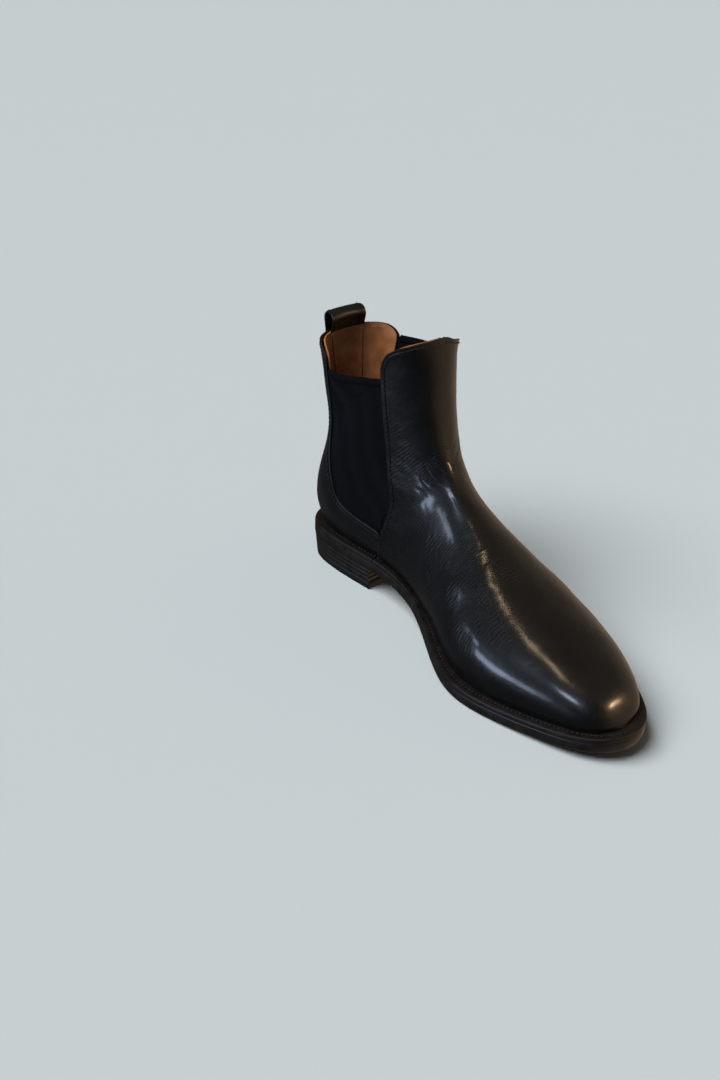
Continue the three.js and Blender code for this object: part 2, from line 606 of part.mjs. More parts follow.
function upperPieces() {
  const pieces = [vampLayer(UPPER, 'calf', 'vamp'), vampLayer(LINING, 'lining', 'vamp_lining'), toePuff(),
    heelCounter()];
  for (const side of [-1, 1]) {
    pieces.push(
      quarterLayer(side, UPPER, 'calf', `quarter_${wordOf(side)}`),
      quarterLayer(side, LINING, 'lining', `quarter_lining_${wordOf(side)}`),
      gore(side),
      goreBinding(side),
    );
  }
  const stayHalf = (t) => STAY.half + STAY.flare * Math.max(STAY.flareBelow - t, 0);
  pieces.push(
    backStrip(STAY.bottom, STAY.top, stayHalf, BACKSTAY, 'calf', 'backstay'),
    backStrip(BAND.bottom, TAIL.top, () => BAND.half, BACK_BAND, 'lining', 'back_lining_band'),
    pullLoop(),
    loopTail(OUTER_TAIL, TAIL.outerBottom, 'pull_loop_outer_tail'),
    loopTail(INNER_TAIL, TAIL.innerBottom, 'pull_loop_inner_tail'),
  );
  return pieces;
}

// ---------------------------------------------------------------- the boot

const group = new THREE.Group();
group.add(...upperPieces(), ...solePieces(), ...heelPieces());
const box = new THREE.Box3().setFromObject(group);
const centre = box.getCenter(new THREE.Vector3());
group.position.set(-centre.x, -centre.y, -box.min.z);

export default group;
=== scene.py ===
"""The looks of a black calf chelsea boot for the left foot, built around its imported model.

Every surface is worked out as a numpy grid on the same last and sole as the model's own solids. Lengths
here are millimetres on the boot's own axes: x to the wearer's outer side, y = -s where s is the distance
forward from the back of the heel, and z up from the floor. They become metres in the model's frame as each
mesh is made.
"""
import logging
import math
from collections.abc import Callable, Sequence
from dataclasses import dataclass, field, replace
from enum import Enum
from functools import reduce

import bmesh
import bpy
import numpy as np
from mathutils import Matrix, Vector
from mathutils.kdtree import KDTree


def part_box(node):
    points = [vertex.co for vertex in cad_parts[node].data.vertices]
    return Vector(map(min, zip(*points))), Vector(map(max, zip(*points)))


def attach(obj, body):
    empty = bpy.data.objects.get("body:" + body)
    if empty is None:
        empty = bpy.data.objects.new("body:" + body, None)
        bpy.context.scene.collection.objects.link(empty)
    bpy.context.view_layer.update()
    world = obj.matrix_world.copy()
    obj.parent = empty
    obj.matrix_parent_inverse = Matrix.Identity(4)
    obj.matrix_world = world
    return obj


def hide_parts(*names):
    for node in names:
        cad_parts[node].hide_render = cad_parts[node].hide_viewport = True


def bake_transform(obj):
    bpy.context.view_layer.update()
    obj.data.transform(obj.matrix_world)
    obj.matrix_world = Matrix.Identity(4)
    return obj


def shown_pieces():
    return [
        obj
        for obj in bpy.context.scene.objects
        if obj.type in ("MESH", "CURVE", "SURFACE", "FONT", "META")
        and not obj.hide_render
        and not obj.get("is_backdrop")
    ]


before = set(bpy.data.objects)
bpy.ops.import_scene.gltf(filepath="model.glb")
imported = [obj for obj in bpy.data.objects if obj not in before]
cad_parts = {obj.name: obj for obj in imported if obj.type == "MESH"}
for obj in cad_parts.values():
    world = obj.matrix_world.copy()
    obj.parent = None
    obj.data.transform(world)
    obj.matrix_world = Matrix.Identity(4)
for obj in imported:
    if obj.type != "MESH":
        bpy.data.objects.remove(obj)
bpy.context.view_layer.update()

log = logging.getLogger("chelsea_boot")

Array = np.ndarray
Line = Callable[[Array], Array]
Relief = Callable[[Array, Array, Array], Array]
MM = 0.001


# ------------------------------------------------------------------------------- small mathematics


def smooth(value: Array | float, start: float = 0.0, end: float = 1.0) -> Array:
    """Smooth step: 0 before start, 1 after end, and 3u^2 - 2u^3 between them."""
    u = np.clip((np.asarray(value, float) - start) / (end - start), 0.0, 1.0)
    return u * u * (3.0 - 2.0 * u)


def unit(vectors: Array) -> Array:
    """Vectors divided by their own lengths."""
    return vectors / np.maximum(np.linalg.norm(vectors, axis=-1, keepdims=True), 1e-12)


def b_spline(controls: Array, t: Array, before: Array, after: Array) -> Array:
    """Uniform cubic B-spline over a table of controls.

    Each row of the table is one control. The four basis weights are the cubic ones, over a table that is
    made one row longer at each end.

    Args:
        controls: One control per row.
        t: Places along the spline, in rows.
        before: The control before the first.
        after: The control after the last.

    Returns:
        One row of values for each t.
    """
    padded = np.vstack([before, controls, after])
    place = np.clip(np.asarray(t, float), 0.0, len(controls) - 1 - 1e-9)
    i = np.floor(place).astype(int)
    u = (place - i)[..., None]
    weights = ((1 - u) ** 3, 3 * u**3 - 6 * u**2 + 4, -3 * u**3 + 3 * u**2 + 3 * u + 1, u**3)
    return sum(w * padded[i + k] for k, w in enumerate(weights)) / 6.0


def value_noise(points: Array, scale: float, seed: int) -> Array:
    """Smooth noise from -1 to 1: random values on a lattice, blended by smooth steps along each axis.

    Args:
        points: Places in millimetres, in the last axis.
        scale: The lattice's pitch in millimetres.
        seed: Picks the random values.

    Returns:
        One value for each point.
    """
    side = 32
    table = np.random.default_rng(seed).uniform(-1.0, 1.0, (side, side, side))
    place = points / scale
    cell = np.floor(place).astype(int)
    u = place - cell
    u = u * u * (3.0 - 2.0 * u)
    total = np.zeros(points.shape[:-1])
    for corner in np.ndindex(2, 2, 2):
        index = (cell + corner) % side
        weight = np.prod(np.where(corner, u, 1.0 - u), axis=-1)
        total += weight * table[index[..., 0], index[..., 1], index[..., 2]]
    return total


def rounded(line: Sequence[tuple[float, float]], turns: int = 4) -> Array:
    """A broken line with its corners cut over and over, at a quarter and three quarters of each side."""
    points = np.array(line, float)
    for _ in range(turns):
        low = 0.75 * points[:-1] + 0.25 * points[1:]
        high = 0.25 * points[:-1] + 0.75 * points[1:]
        inner = np.stack([low, high], axis=1).reshape(-1, 2)
        points = np.vstack([points[:1], inner, points[-1:]])
    return points


def close_set(count: int, edge: float = 0.004) -> Array:
    """Shares from 0 to 1 with two rows set close to each end, which keep a rounded rim crisp."""
    inner = np.linspace(3.0 * edge, 1.0 - 3.0 * edge, count - 4)
    return np.concatenate([[0.0, edge], inner, [1.0 - edge, 1.0]])


# --------------------------------------------------------------------------------- the sole's plan


@dataclass(frozen=True)
class SolePlan:
    """The sole's outline and the height of its underside."""

    length: float = 305.0
    outsole: float = 7.0
    welt: float = 3.5
    heel_height: float = 17.0
    heel_length: float = 76.0
    ball: float = 205.0
    toe_spring: float = 8.0
    toe_bow: float = 9.4
    # Distance from the heel's back, half width to the inside and half width to the outside.
    halves: tuple[tuple[float, float, float], ...] = (
        (-2.5, 0, 0), (5, 21, 17), (18, 30.5, 27), (40, 31.5, 31.5), (65, 29, 34.5), (95, 25, 37.5),
        (125, 26.5, 43), (155, 40, 52), (185, 54, 58), (212, 55, 58), (240, 47, 51.5),
        (265, 38.5, 41.5), (285, 30.5, 30.5), (300, 18.5, 18.5), (307.5, 0, 0),
    )

    @property
    def toe(self) -> float:
        """The station of the toe's tip; the heel's back is 0 and the outside runs back from here."""
        return float(len(self.halves) - 1)

    def edge(self, station: Array) -> Array:
        """Points (x, s) on the outline: a cubic B-spline of the half widths, bowed towards the big toe."""
        table = np.array(self.halves, float)
        flip = np.array([1.0, -1.0, -1.0])
        turn = np.mod(station, 2.0 * self.toe)
        inside = turn < self.toe
        t = np.where(inside, turn, 2.0 * self.toe - turn)
        s, medial, lateral = np.moveaxis(b_spline(table, t, table[1] * flip, table[-2] * flip), -1, 0)
        bow = self.toe_bow * (np.maximum(s - 60.0, 0.0) / 245.0) ** 2
        return np.stack([np.where(inside, -medial, lateral) - bow, s], axis=-1)

    def inset(self, station: Array, distance: Array | float) -> Array:
        """Outline points moved inwards, square to the edge."""
        station = np.asarray(station, float)
        along = unit(self.edge(station + 0.02) - self.edge(station - 0.02))
        inward = np.stack([along[..., 1], -along[..., 0]], axis=-1)
        return self.edge(station) + inward * np.asarray(distance, float)[..., None]

    def bottom(self, s: Array) -> Array:
        """Height of the underside: a smooth step up to the heel seat, and a power curve up to the toe."""
        waist = smooth((self.ball - s) / (self.ball - self.heel_length))
        spring = np.maximum((s - self.ball) / (self.length - self.ball), 0.0)
        return self.heel_height * waist + self.toe_spring * spring**1.8

    def feather(self, s: Array) -> Array:
        """Height of the welt's top, where the upper meets it."""
        return self.bottom(s) + self.outsole + self.welt

    def station(self, distance: float) -> float:
        """The station on the inside that lies a distance from the heel's back."""
        places = np.linspace(0.0, self.toe, 4000)
        return float(np.interp(distance, self.edge(places)[:, 1], places))


SOLE = SolePlan()


# ---------------------------------------------------------------------------------------- the last


# Sections that fan out from the toe tip over the instep to the shaft. Columns: ridge s, ridge z, back s,
# back z, ridge x, back x, half width inside, half width outside, height of the widest place as a share,
# width at the bottom as a share, hollow of the shoulders, and the exponent of the section's curve.
LAST_SECTIONS = np.array([
    [297, 17, 297, 17, -9, -9, 0, 0, 0.3, 0.96, 0, 2.2],
    [295.5, 21, 292, 15, -9, -9, 16.5, 18.5, 0.3, 0.96, 0, 2.3],
    [287, 34, 281, 14, -8.5, -8.5, 25, 26.5, 0.3, 0.96, 0.03, 2.4],
    [270, 41, 264, 12, -8, -6.5, 33, 35.5, 0.3, 0.96, 0.06, 2.4],
    [247, 48, 243, 9.5, -7.5, -4, 42, 44, 0.32, 0.96, 0.1, 2.3],
    [222, 56, 218, 8, -7, -2, 50, 49, 0.33, 0.96, 0.13, 2.2],
    [196, 67, 190, 8.5, -7, 0, 51.5, 51, 0.33, 0.95, 0.15, 2.1],
    [171, 79, 158, 11, -6, 4, 42.5, 44.5, 0.34, 0.92, 0.16, 2],
    [149, 91.5, 122, 15, -5, 6, 32, 36.5, 0.36, 0.86, 0.14, 2],
    [133, 104, 88, 15, -4, 5, 28, 33, 0.38, 0.72, 0.1, 2],
    [123, 118, 52, 12, -3, 2, 30, 32, 0.38, 0.45, 0.05, 2.1],
    [117.5, 134, 20, 13, -2, 0, 34, 32.5, 0.38, 0.15, 0.02, 2.2],
    [114.5, 149, 2, 27, -1.5, 0, 36, 32.5, 0.4, 0, 0, 2.2],
    [112.5, 165, 1, 50, -1, 0, 36, 31.5, 0.44, 0, 0, 2.2],
    [111, 175, 9, 74, -0.5, 0, 35.5, 30, 0.48, 0, 0, 2.2],
    [110, 181, 14, 96, 0, 0, 35, 28.5, 0.5, 0, 0, 2.2],
    [109.5, 185, 10.5, 118, 0, 0, 35.5, 29.5, 0.5, 0, 0, 2.2],
    [109, 189, 6, 140, 0, 0.5, 37, 32.5, 0.5, 0, 0, 2.2],
    [108.5, 192, 2.5, 160, 0, 1.5, 40, 35.5, 0.5, 0, 0, 2.2],
    [108.5, 196, 1, 178, 0, 2.5, 43.5, 38.5, 0.5, 0, 0, 2.2],
], float)


class Last:
    """The shape that the upper is pulled over, as a surface of t, the section, and q, the turn round it.

    q is 0 on the back or bottom line, 0.5 on the ridge and 1 at the back again; below 0.5 is the foot's
    inside.
    """

    def point(self, t: Array, q: Array) -> Array:
        """Points on the outer face.

        A section's half width is a superellipse above its widest place, and below it a superellipse cut off
        at the foot; the height runs along the straight line from the back line to the ridge.
        """
        t, q = np.broadcast_arrays(np.asarray(t, float), np.asarray(q, float))
        first, last = LAST_SECTIONS[0], LAST_SECTIONS[-1]
        before, after = 2 * first - LAST_SECTIONS[1], 2 * last - LAST_SECTIONS[-2]
        rows = b_spline(LAST_SECTIONS, t, before, after)
        (ridge_s, ridge_z, back_s, back_z, ridge_x, back_x, inside, outside, wide, foot, hollow,
         power) = np.moveaxis(rows, -1, 0)
        turn = q - np.floor(q)
        medial = turn < 0.5
        along = np.where(medial, 2.0 * turn, 2.0 - 2.0 * turn)
        joint = wide / (wide + (1.0 - wide) * 1.1)
        most = np.arccos(np.clip(foot, 0.0, 0.995) ** (power / 2.0))
        below = most * (1.0 - np.clip(along / joint, 0.0, 1.0))
        above = np.clip((along - joint) / (1.0 - joint), 0.0, 1.0) * np.pi / 2.0
        rise = np.sin(above) ** (2.0 / power)
        low = along < joint
        shoulder = np.maximum(np.cos(above), 0.0) ** (2.0 / power) * (1.0 - hollow * rise**2)
        width = np.where(low, np.cos(below) ** (2.0 / power), shoulder)
        sunk = wide * (1.0 - (np.sin(below) / np.sin(most)) ** (2.0 / power))
        height = np.where(low, sunk, wide + (1.0 - wide) * rise)
        x = back_x + (ridge_x - back_x) * height + np.where(medial, -inside, outside) * width
        s = back_s + (ridge_s - back_s) * height
        return np.stack([x, -s, back_z + (ridge_z - back_z) * height], axis=-1)

    def normal(self, t: Array, q: Array) -> Array:
        """Outward normals: the cross product of the two central differences of the surface."""
        across = self.point(t, q + 0.004) - self.point(t, q - 0.004)
        up = self.point(np.asarray(t) + 0.02, q) - self.point(np.asarray(t) - 0.02, q)
        return unit(np.cross(across, up))

    def wall(self, t: Array, q: Array, depth: Array | float, floor: float = 0.0) -> Array:
        """Points at a depth under the outer face, kept above the welt's top by floor."""
        moved = self.point(t, q) - self.normal(t, q) * np.asarray(depth, float)[..., None]
        moved[..., 2] = np.maximum(moved[..., 2], SOLE.feather(-moved[..., 1]) + floor)
        return moved

    def feather(self, t: Array, side: int, floor: float = 0.0) -> Array:
        """The turn q where the outer face meets the welt, found by halving the interval thirty times."""
        t = np.asarray(t, float)
        low, high = np.zeros_like(t), np.full_like(t, 0.5)
        for _ in range(30):
            middle = (low + high) / 2.0
            place = self.point(t, middle if side < 0 else 1.0 - middle)
            above = place[..., 2] > SOLE.feather(-place[..., 1]) + floor
            high = np.where(above, middle, high)
            low = np.where(above, low, middle)
        start = self.point(t, np.zeros_like(t) if side < 0 else np.ones_like(t))
        open_back = start[..., 2] > SOLE.feather(-start[..., 1]) + floor
        turn = np.where(open_back, 0.0, high)
        return turn if side < 0 else 1.0 - turn


LAST = Last()


# ----------------------------------------------------------------------------------- pattern lines


class Side(Enum):
    """The two sides of the boot."""

    MEDIAL = -1
    LATERAL = 1

    @property
    def word(self) -> str:
        """The side's name as the model's nodes have it."""
        return self.name.lower()

    def turn(self, q: Array) -> Array:
        """A turn q of the inside, mirrored for the outside."""
        return q if self is Side.MEDIAL else 1.0 - q


# The t at which the side seam starts, and at which the vamp and the quarters end.
SEAM_BOTTOM = 9.45
VAMP_TOP = 18.4
QUARTER_TOP = 18.28

SEAM = [(SEAM_BOTTOM, 0.08), (9.53, 0.13), (9.62, 0.175)]
VAMP_SIDE = [
    *SEAM, (9.75, 0.218), (9.9, 0.25), (10.1, 0.27), (10.4, 0.287), (11, 0.305), (11.5, 0.316),
    (12, 0.323), (13, 0.326), (14, 0.324), (15, 0.321), (16.2, 0.322),
]
BACK_TOPLINE = [
    (17.5, 0.162), (17.8, 0.15), (18, 0.135), (18.14, 0.115), (18.24, 0.07), (18.27, 0.03),
    (QUARTER_TOP, 0),
]

# Where each panel ends on each side, as (t, q) with q counted from the back.
VAMP_EDGE = {
    Side.MEDIAL: rounded([
        *VAMP_SIDE, (16.8, 0.33), (17.2, 0.34), (17.5, 0.35), (17.8, 0.372), (18, 0.4), (18.14, 0.425),
        (18.27, 0.455), (18.36, 0.475), (VAMP_TOP, 0.5),
    ]),
    Side.LATERAL: rounded([
        *VAMP_SIDE, (16.5, 0.332), (16.8, 0.35), (17.05, 0.38), (17.25, 0.42), (17.4, 0.445),
        (17.6, 0.462), (17.9, 0.475), (18.15, 0.484), (18.32, 0.491), (VAMP_TOP, 0.5),
    ]),
}
QUARTER_EDGE = {
    Side.MEDIAL: rounded([
        *SEAM, (9.75, 0.183), (10.1, 0.182), (10.8, 0.176), (11.2, 0.174), (11.6, 0.177), (12.1, 0.183),
        (12.8, 0.185), (13.4, 0.178), (14.2, 0.162), (14.9, 0.151), (16, 0.146), (16.9, 0.153),
        *BACK_TOPLINE,
    ]),
    Side.LATERAL: rounded([
        *SEAM, (9.75, 0.183), (10.1, 0.18), (10.8, 0.169), (11.5, 0.165), (12.8, 0.166), (14.2, 0.156),
        (15.2, 0.149), (16, 0.15), (16.9, 0.157), *BACK_TOPLINE,
    ]),
}
GORE_TOP = {
    Side.MEDIAL: rounded([
        (15.2, 0.345), (15.5, 0.313), (15.9, 0.286), (16.3, 0.252), (16.7, 0.202), (16.95, 0.153),
    ]),
    Side.LATERAL: rounded([
        (15.75, 0.346), (16.1, 0.318), (16.4, 0.295), (16.7, 0.27), (17, 0.241), (17.2, 0.218),
        (17.4, 0.184), (17.5, 0.164),
    ]),
}


def on_line(line: Array, t: Array) -> Array:
    """q where a pattern line has reached t."""
    return np.interp(t, line[:, 0], line[:, 1])


def vamp_limit(side: Side, margin: float = 0.0, drop: float = 0.0) -> Line:
    """The vamp's boundary on one side, as q of t: the welt line, then the vamp's back edge.

    Args:
        side: Which side.
        margin: How far inside the edge, as a turn.
        drop: How far below the edge, in sections.

    Returns:
        The boundary.
    """
    def limit(t: Array) -> Array:
        """q at t."""
        low = LAST.feather(t, side.value)
        edge = on_line(VAMP_EDGE[side], np.asarray(t) + drop) + margin
        return np.where(np.asarray(t) < SEAM_BOTTOM, low, side.turn(edge))
    return limit


def quarter_front(side: Side, margin: float = 0.0) -> Line:
    """The quarter's front boundary, as q of t: side seam, gore edge and back topline."""
    def limit(t: Array) -> Array:
        """q at t."""
        return side.turn(np.maximum(on_line(QUARTER_EDGE[side], t) + margin, 0.0))
    return limit


def quarter_back(side: Side) -> Line:
    """The quarter's lower and back boundary, as q of t: the welt line, then the back seam."""
    def limit(t: Array) -> Array:
        """q at t."""
        foot = np.maximum(side.turn(LAST.feather(t, side.value)), 0.0004)
        return side.turn(np.minimum(foot, on_line(QUARTER_EDGE[side], t)))
    return limit


def gore_front(side: Side, lap: float) -> Line:
    """The gore's front boundary: under the vamp by the lap, and cut off by the line of its top edge."""
    top = GORE_TOP[side]
    def limit(t: Array) -> Array:
        """q at t."""
        above = np.where(np.asarray(t) < top[0, 0], 1.0, on_line(top, t))
        return side.turn(np.minimum(on_line(VAMP_EDGE[side], t) + lap, above))
    return limit


def even_rows(low: Line, high: Line, start: float, end: float, count: int) -> Array:
    """Values of t that are evenly spaced along both boundaries together, with close rows at the ends."""
    dense = np.linspace(start, end, 4000)
    middle = (low(dense) + high(dense)) / 2.0
    lengths = sum(np.linalg.norm(np.diff(LAST.point(dense, q), axis=0), axis=1)
                  for q in (low(dense), high(dense), middle))
    total = np.concatenate([[0.0], np.cumsum(lengths)])
    return np.interp(close_set(count, 0.002) * total[-1], total, dense)


# ------------------------------------------------------------------------------- meshes from grids


@dataclass
class Surface:
    """Vertices in millimetres, faces of four corners, each vertex's place on the skin, and face kinds.

    Values are further numbers that the vertices carry, such as their distance to a seam.
    """

    points: Array
    faces: Array
    skin: Array
    kinds: Array
    values: dict[str, Array] = field(default_factory=dict)

    def joined(self, other: "Surface") -> "Surface":
        """This surface and another as one."""
        return Surface(
            np.vstack([self.points, other.points]),
            np.vstack([self.faces, other.faces + len(self.points)]),
            np.vstack([self.skin, other.skin]),
            np.concatenate([self.kinds, other.kinds]))


def frame_shift() -> Array:
    """How far the boot's own axes are moved into the model's frame, from the outsole's box."""
    low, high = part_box("outsole")
    widest = SOLE.edge(np.linspace(0.0, 2.0 * SOLE.toe, 6000))[:, 0].min()
    return np.array([low.x / MM - widest, high.y / MM, 0.0])


SHIFT = frame_shift()


def to_frame(points: Array) -> Array:
    """Millimetres on the boot's axes as metres in the model's frame."""
    return (np.asarray(points, float) + SHIFT) * MM


def grid_faces(rows: int, columns: int, start: int = 0) -> Array:
    """The four-cornered faces of a grid of vertices, rows by columns, numbered from start."""
    index = start + np.arange(rows * columns).reshape(rows, columns)
    corners = [index[:-1, :-1], index[:-1, 1:], index[1:, 1:], index[1:, :-1]]
    return np.stack(corners, axis=-1).reshape(-1, 4)


def ring_faces(first: Array, second: Array) -> Array:
    """Faces between two closed rings of vertex numbers."""
    return np.stack([first, second, np.roll(second, -1), np.roll(first, -1)], axis=-1)


def boundary(rows: int, columns: int) -> tuple[Array, Array]:
    """Vertex numbers round a grid's edge, and for each the number of the vertex just inside it."""
    top = [(0, j) for j in range(columns - 1)]
    right = [(i, columns - 1) for i in range(rows - 1)]
    bottom = [(rows - 1, j) for j in range(columns - 1, 0, -1)]
    left = [(i, 0) for i in range(rows - 1, 0, -1)]
    loop = np.array(top + right + bottom + left)
    inside = np.stack([np.clip(loop[:, 0], 1, rows - 2), np.clip(loop[:, 1], 1, columns - 2)], axis=1)
    return loop[:, 0] * columns + loop[:, 1], inside[:, 0] * columns + inside[:, 1]


def distance_to(points: Array, path: Array) -> Array:
    """The distance from each point of a grid to the nearest point of a closely set path."""
    tree = KDTree(len(path))
    for k, place in enumerate(path):
        tree.insert(place, k)
    tree.balance()
    nearest = [tree.find(place)[2] for place in points.reshape(-1, 3)]
    return np.array(nearest).reshape(points.shape[:-1])


# Rows of corners between the two faces of a rounded rim.
RIM_STEPS = 3


def leather_shell(outer: Array, inner: Array, bulge: float = 0.9,
                  values: dict[str, Array] | None = None) -> Surface:
    """A sheet with two faces and a rounded rim.

    The rim turns from one face to the other: a half circle from the mean of the two faces, with its depth
    along the sheet's thickness and its reach along the sheet's own plane.

    Args:
        outer: Outer face, rows by columns by 3.
        inner: Inner face on the same grid.
        bulge: How far the rim stands out, as a share of half the thickness.
        values: Named values on the outer grid, carried as vertex attributes.

    Returns:
        The closed surface; its rim's faces are of kind 1.
    """
    rows, columns, _ = outer.shape
    count = rows * columns
    loop, inside = boundary(rows, columns)
    flat_outer, flat_inner = outer.reshape(-1, 3), inner.reshape(-1, 3)
    centre = (flat_outer[loop] + flat_inner[loop]) / 2.0
    half = (flat_outer[loop] - flat_inner[loop]) / 2.0
    away = flat_outer[loop] - flat_outer[inside]
    thick = np.linalg.norm(half, axis=1, keepdims=True)
    away -= half * np.sum(away * half, axis=1, keepdims=True) / np.maximum(thick**2, 1e-9)
    away = unit(away) * thick * bulge
    angles = np.pi * np.arange(1, RIM_STEPS + 1) / (RIM_STEPS + 1)
    rims = [centre + half * math.cos(a) + away * math.sin(a) for a in angles]
    lengths_v = np.linalg.norm(np.diff(outer, axis=0), axis=2).mean(axis=1)
    lengths_u = np.linalg.norm(np.diff(outer, axis=1), axis=2)
    v = np.concatenate([[0.0], np.cumsum(lengths_v)])[:, None] * np.ones((1, columns))
    u = np.concatenate([np.zeros((rows, 1)), np.cumsum(lengths_u, axis=1)], axis=1)
    u = u - u[:, columns // 2: columns // 2 + 1]
    skin = np.stack([u, v], axis=-1).reshape(-1, 2)
    steps = [2 * count + k * len(loop) + np.arange(len(loop)) for k in range(RIM_STEPS)]
    numbers = [loop, *steps, loop + count]
    rim_faces = np.vstack([ring_faces(a, b) for a, b in zip(numbers[:-1], numbers[1:])])
    faces = np.vstack([grid_faces(rows, columns)[:, ::-1], grid_faces(rows, columns, count), rim_faces])
    kinds = np.zeros(len(faces), int)
    kinds[-len(rim_faces):] = 1
    points = np.vstack([flat_outer, flat_inner, *rims])
    spread = {name: np.concatenate([value.ravel()] * 2 + [value.ravel()[loop]] * RIM_STEPS)
              for name, value in (values or {}).items()}
    return Surface(points, faces, np.vstack([skin, skin] + [skin[loop]] * RIM_STEPS), kinds, spread)


def joined(surfaces: Sequence[Surface]) -> Surface:
    """Several surfaces as one."""
    return reduce(Surface.joined, surfaces)


def run_of(path: Array) -> Array:
    """The distance along a path at each of its points."""
    return np.concatenate([[0.0], np.cumsum(np.linalg.norm(np.diff(path, axis=0), axis=1))])


def swept(rings: Array, capped: bool = True) -> Surface:
    """A closed section carried along a path: rings by corners by 3, with flat ends if capped."""
    steps, corners, _ = rings.shape
    numbers = np.arange(steps * corners).reshape(steps, corners)
    sides = np.vstack([ring_faces(numbers[k], numbers[k + 1]) for k in range(steps - 1)])
    skin = np.stack(np.meshgrid(run_of(rings.mean(axis=1)), run_of(rings[0]), indexing="ij"), axis=-1)
    surface = Surface(rings.reshape(-1, 3), sides, skin.reshape(-1, 2), np.zeros(len(sides), int))
    return joined([surface, end_cap(rings[0]), end_cap(rings[-1])]) if capped else surface


def end_cap(ring: Array) -> Surface:
    """A fan of faces from a ring's middle to its corners."""
    corners = len(ring)
    points = np.vstack([ring, ring.mean(axis=0)])
    index, hub = np.arange(corners), np.full(corners, corners)
    faces = np.stack([index, np.roll(index, -1), hub, hub], axis=-1)
    return Surface(points, faces, np.zeros((corners + 1, 2)), np.zeros(corners, int))


def make_object(name: str, surface: Surface,
                materials: Sequence[bpy.types.Material]) -> bpy.types.Object:
    """Puts a surface into a new object: corners welded, empty faces dropped, and all facing out.

    Args:
        name: The piece's name.
        surface: Its vertices, faces, skin places and kinds.
        materials: One material for each kind of face.

    Returns:
        The object, at the origin, with its place in its mesh.
    """
    points = to_frame(surface.points)
    _, first, index = np.unique(np.round(points, 7), axis=0, return_index=True, return_inverse=True)
    index = index.reshape(-1)
    faces = index[surface.faces]
    repeats = faces == np.roll(faces, -1, axis=1)
    keep = repeats.sum(axis=1) <= 1
    faces, corners = faces[keep], surface.faces[keep]
    repeats, kinds = repeats[keep], surface.kinds[keep]
    crossed = (faces[:, 0] == faces[:, 2]) | (faces[:, 1] == faces[:, 3])
    faces, corners = faces[~crossed], corners[~crossed]
    repeats, kinds = repeats[~crossed], kinds[~crossed]
    used = ~repeats
    sizes = used.sum(axis=1)
    loops, source = faces[used], corners[used]
    mesh = bpy.data.meshes.new(name)
    mesh.vertices.add(len(first))
    mesh.vertices.foreach_set("co", points[first].ravel())
    mesh.loops.add(len(loops))
    mesh.loops.foreach_set("vertex_index", loops.astype(np.int32))
    mesh.polygons.add(len(sizes))
    starts = np.concatenate([[0], np.cumsum(sizes)[:-1]])
    mesh.polygons.foreach_set("loop_start", starts.astype(np.int32))
    mesh.polygons.foreach_set("material_index", kinds.astype(np.int32))
    mesh.update(calc_edges=True)
    mesh.validate()
    layer = mesh.uv_layers.new(name="Skin")
    if len(layer.data) == len(source):
        layer.data.foreach_set("uv", (surface.skin[source] * MM).ravel())
    for key, value in surface.values.items():
        attribute = mesh.attributes.new(key, "FLOAT", "POINT")
        attribute.data.foreach_set("value", value[first].astype(np.float32))
    turn_outwards(mesh)
    mesh.polygons.foreach_set("use_smooth", np.ones(len(mesh.polygons), bool))
    for material in materials:
        mesh.materials.append(material)
    made = bpy.data.objects.new(name, mesh)
    bpy.context.scene.collection.objects.link(made)
    return made


def turn_outwards(mesh: bpy.types.Mesh) -> None:
    """Recalculates the normals over the welded mesh so that every closed part faces out."""
    work = bmesh.new()
    work.from_mesh(mesh)
    bmesh.ops.recalc_face_normals(work, faces=work.faces)
    work.to_mesh(mesh)
    work.free()


# ---------------------------------------------------------------------------------------- finishes


def colour(code: str) -> tuple[float, float, float, float]:
    """An sRGB hex code as linear red, green, blue and alpha."""
    parts = [int(code[k:k + 2], 16) / 255.0 for k in (1, 3, 5)]
    linear = [c / 12.92 if c <= 0.04045 else ((c + 0.055) / 1.055) ** 2.4 for c in parts]
    return (*linear, 1.0)


def add_node(tree: bpy.types.NodeTree, kind: str, settings: dict | None = None,
             **inputs: object) -> bpy.types.Node:
    """Adds one node, with its settings, and its inputs given as values or as sockets to link from.

    Args:
        tree: The material's tree.
        kind: The node's type name.
        settings: Properties of the node itself.
        inputs: Input names, with _ for a space, or i and a number for an input picked by its place.

    Returns:
        The new node.
    """
    node = tree.nodes.new(kind)
    for key, value in (settings or {}).items():
        setattr(node, key, value)
    for key, value in inputs.items():
        numbered = key[0] == "i" and key[1:].isdigit()
        socket = node.inputs[int(key[1:]) if numbered else key.replace("_", " ")]
        if isinstance(value, bpy.types.NodeSocket):
            tree.links.new(value, socket)
        else:
            socket.default_value = value
    return node


# A wave pattern has one band per pitch when its scale is this number divided by the pitch in metres.
WAVE = 0.314

Sockets = dict[str, bpy.types.NodeSocket]


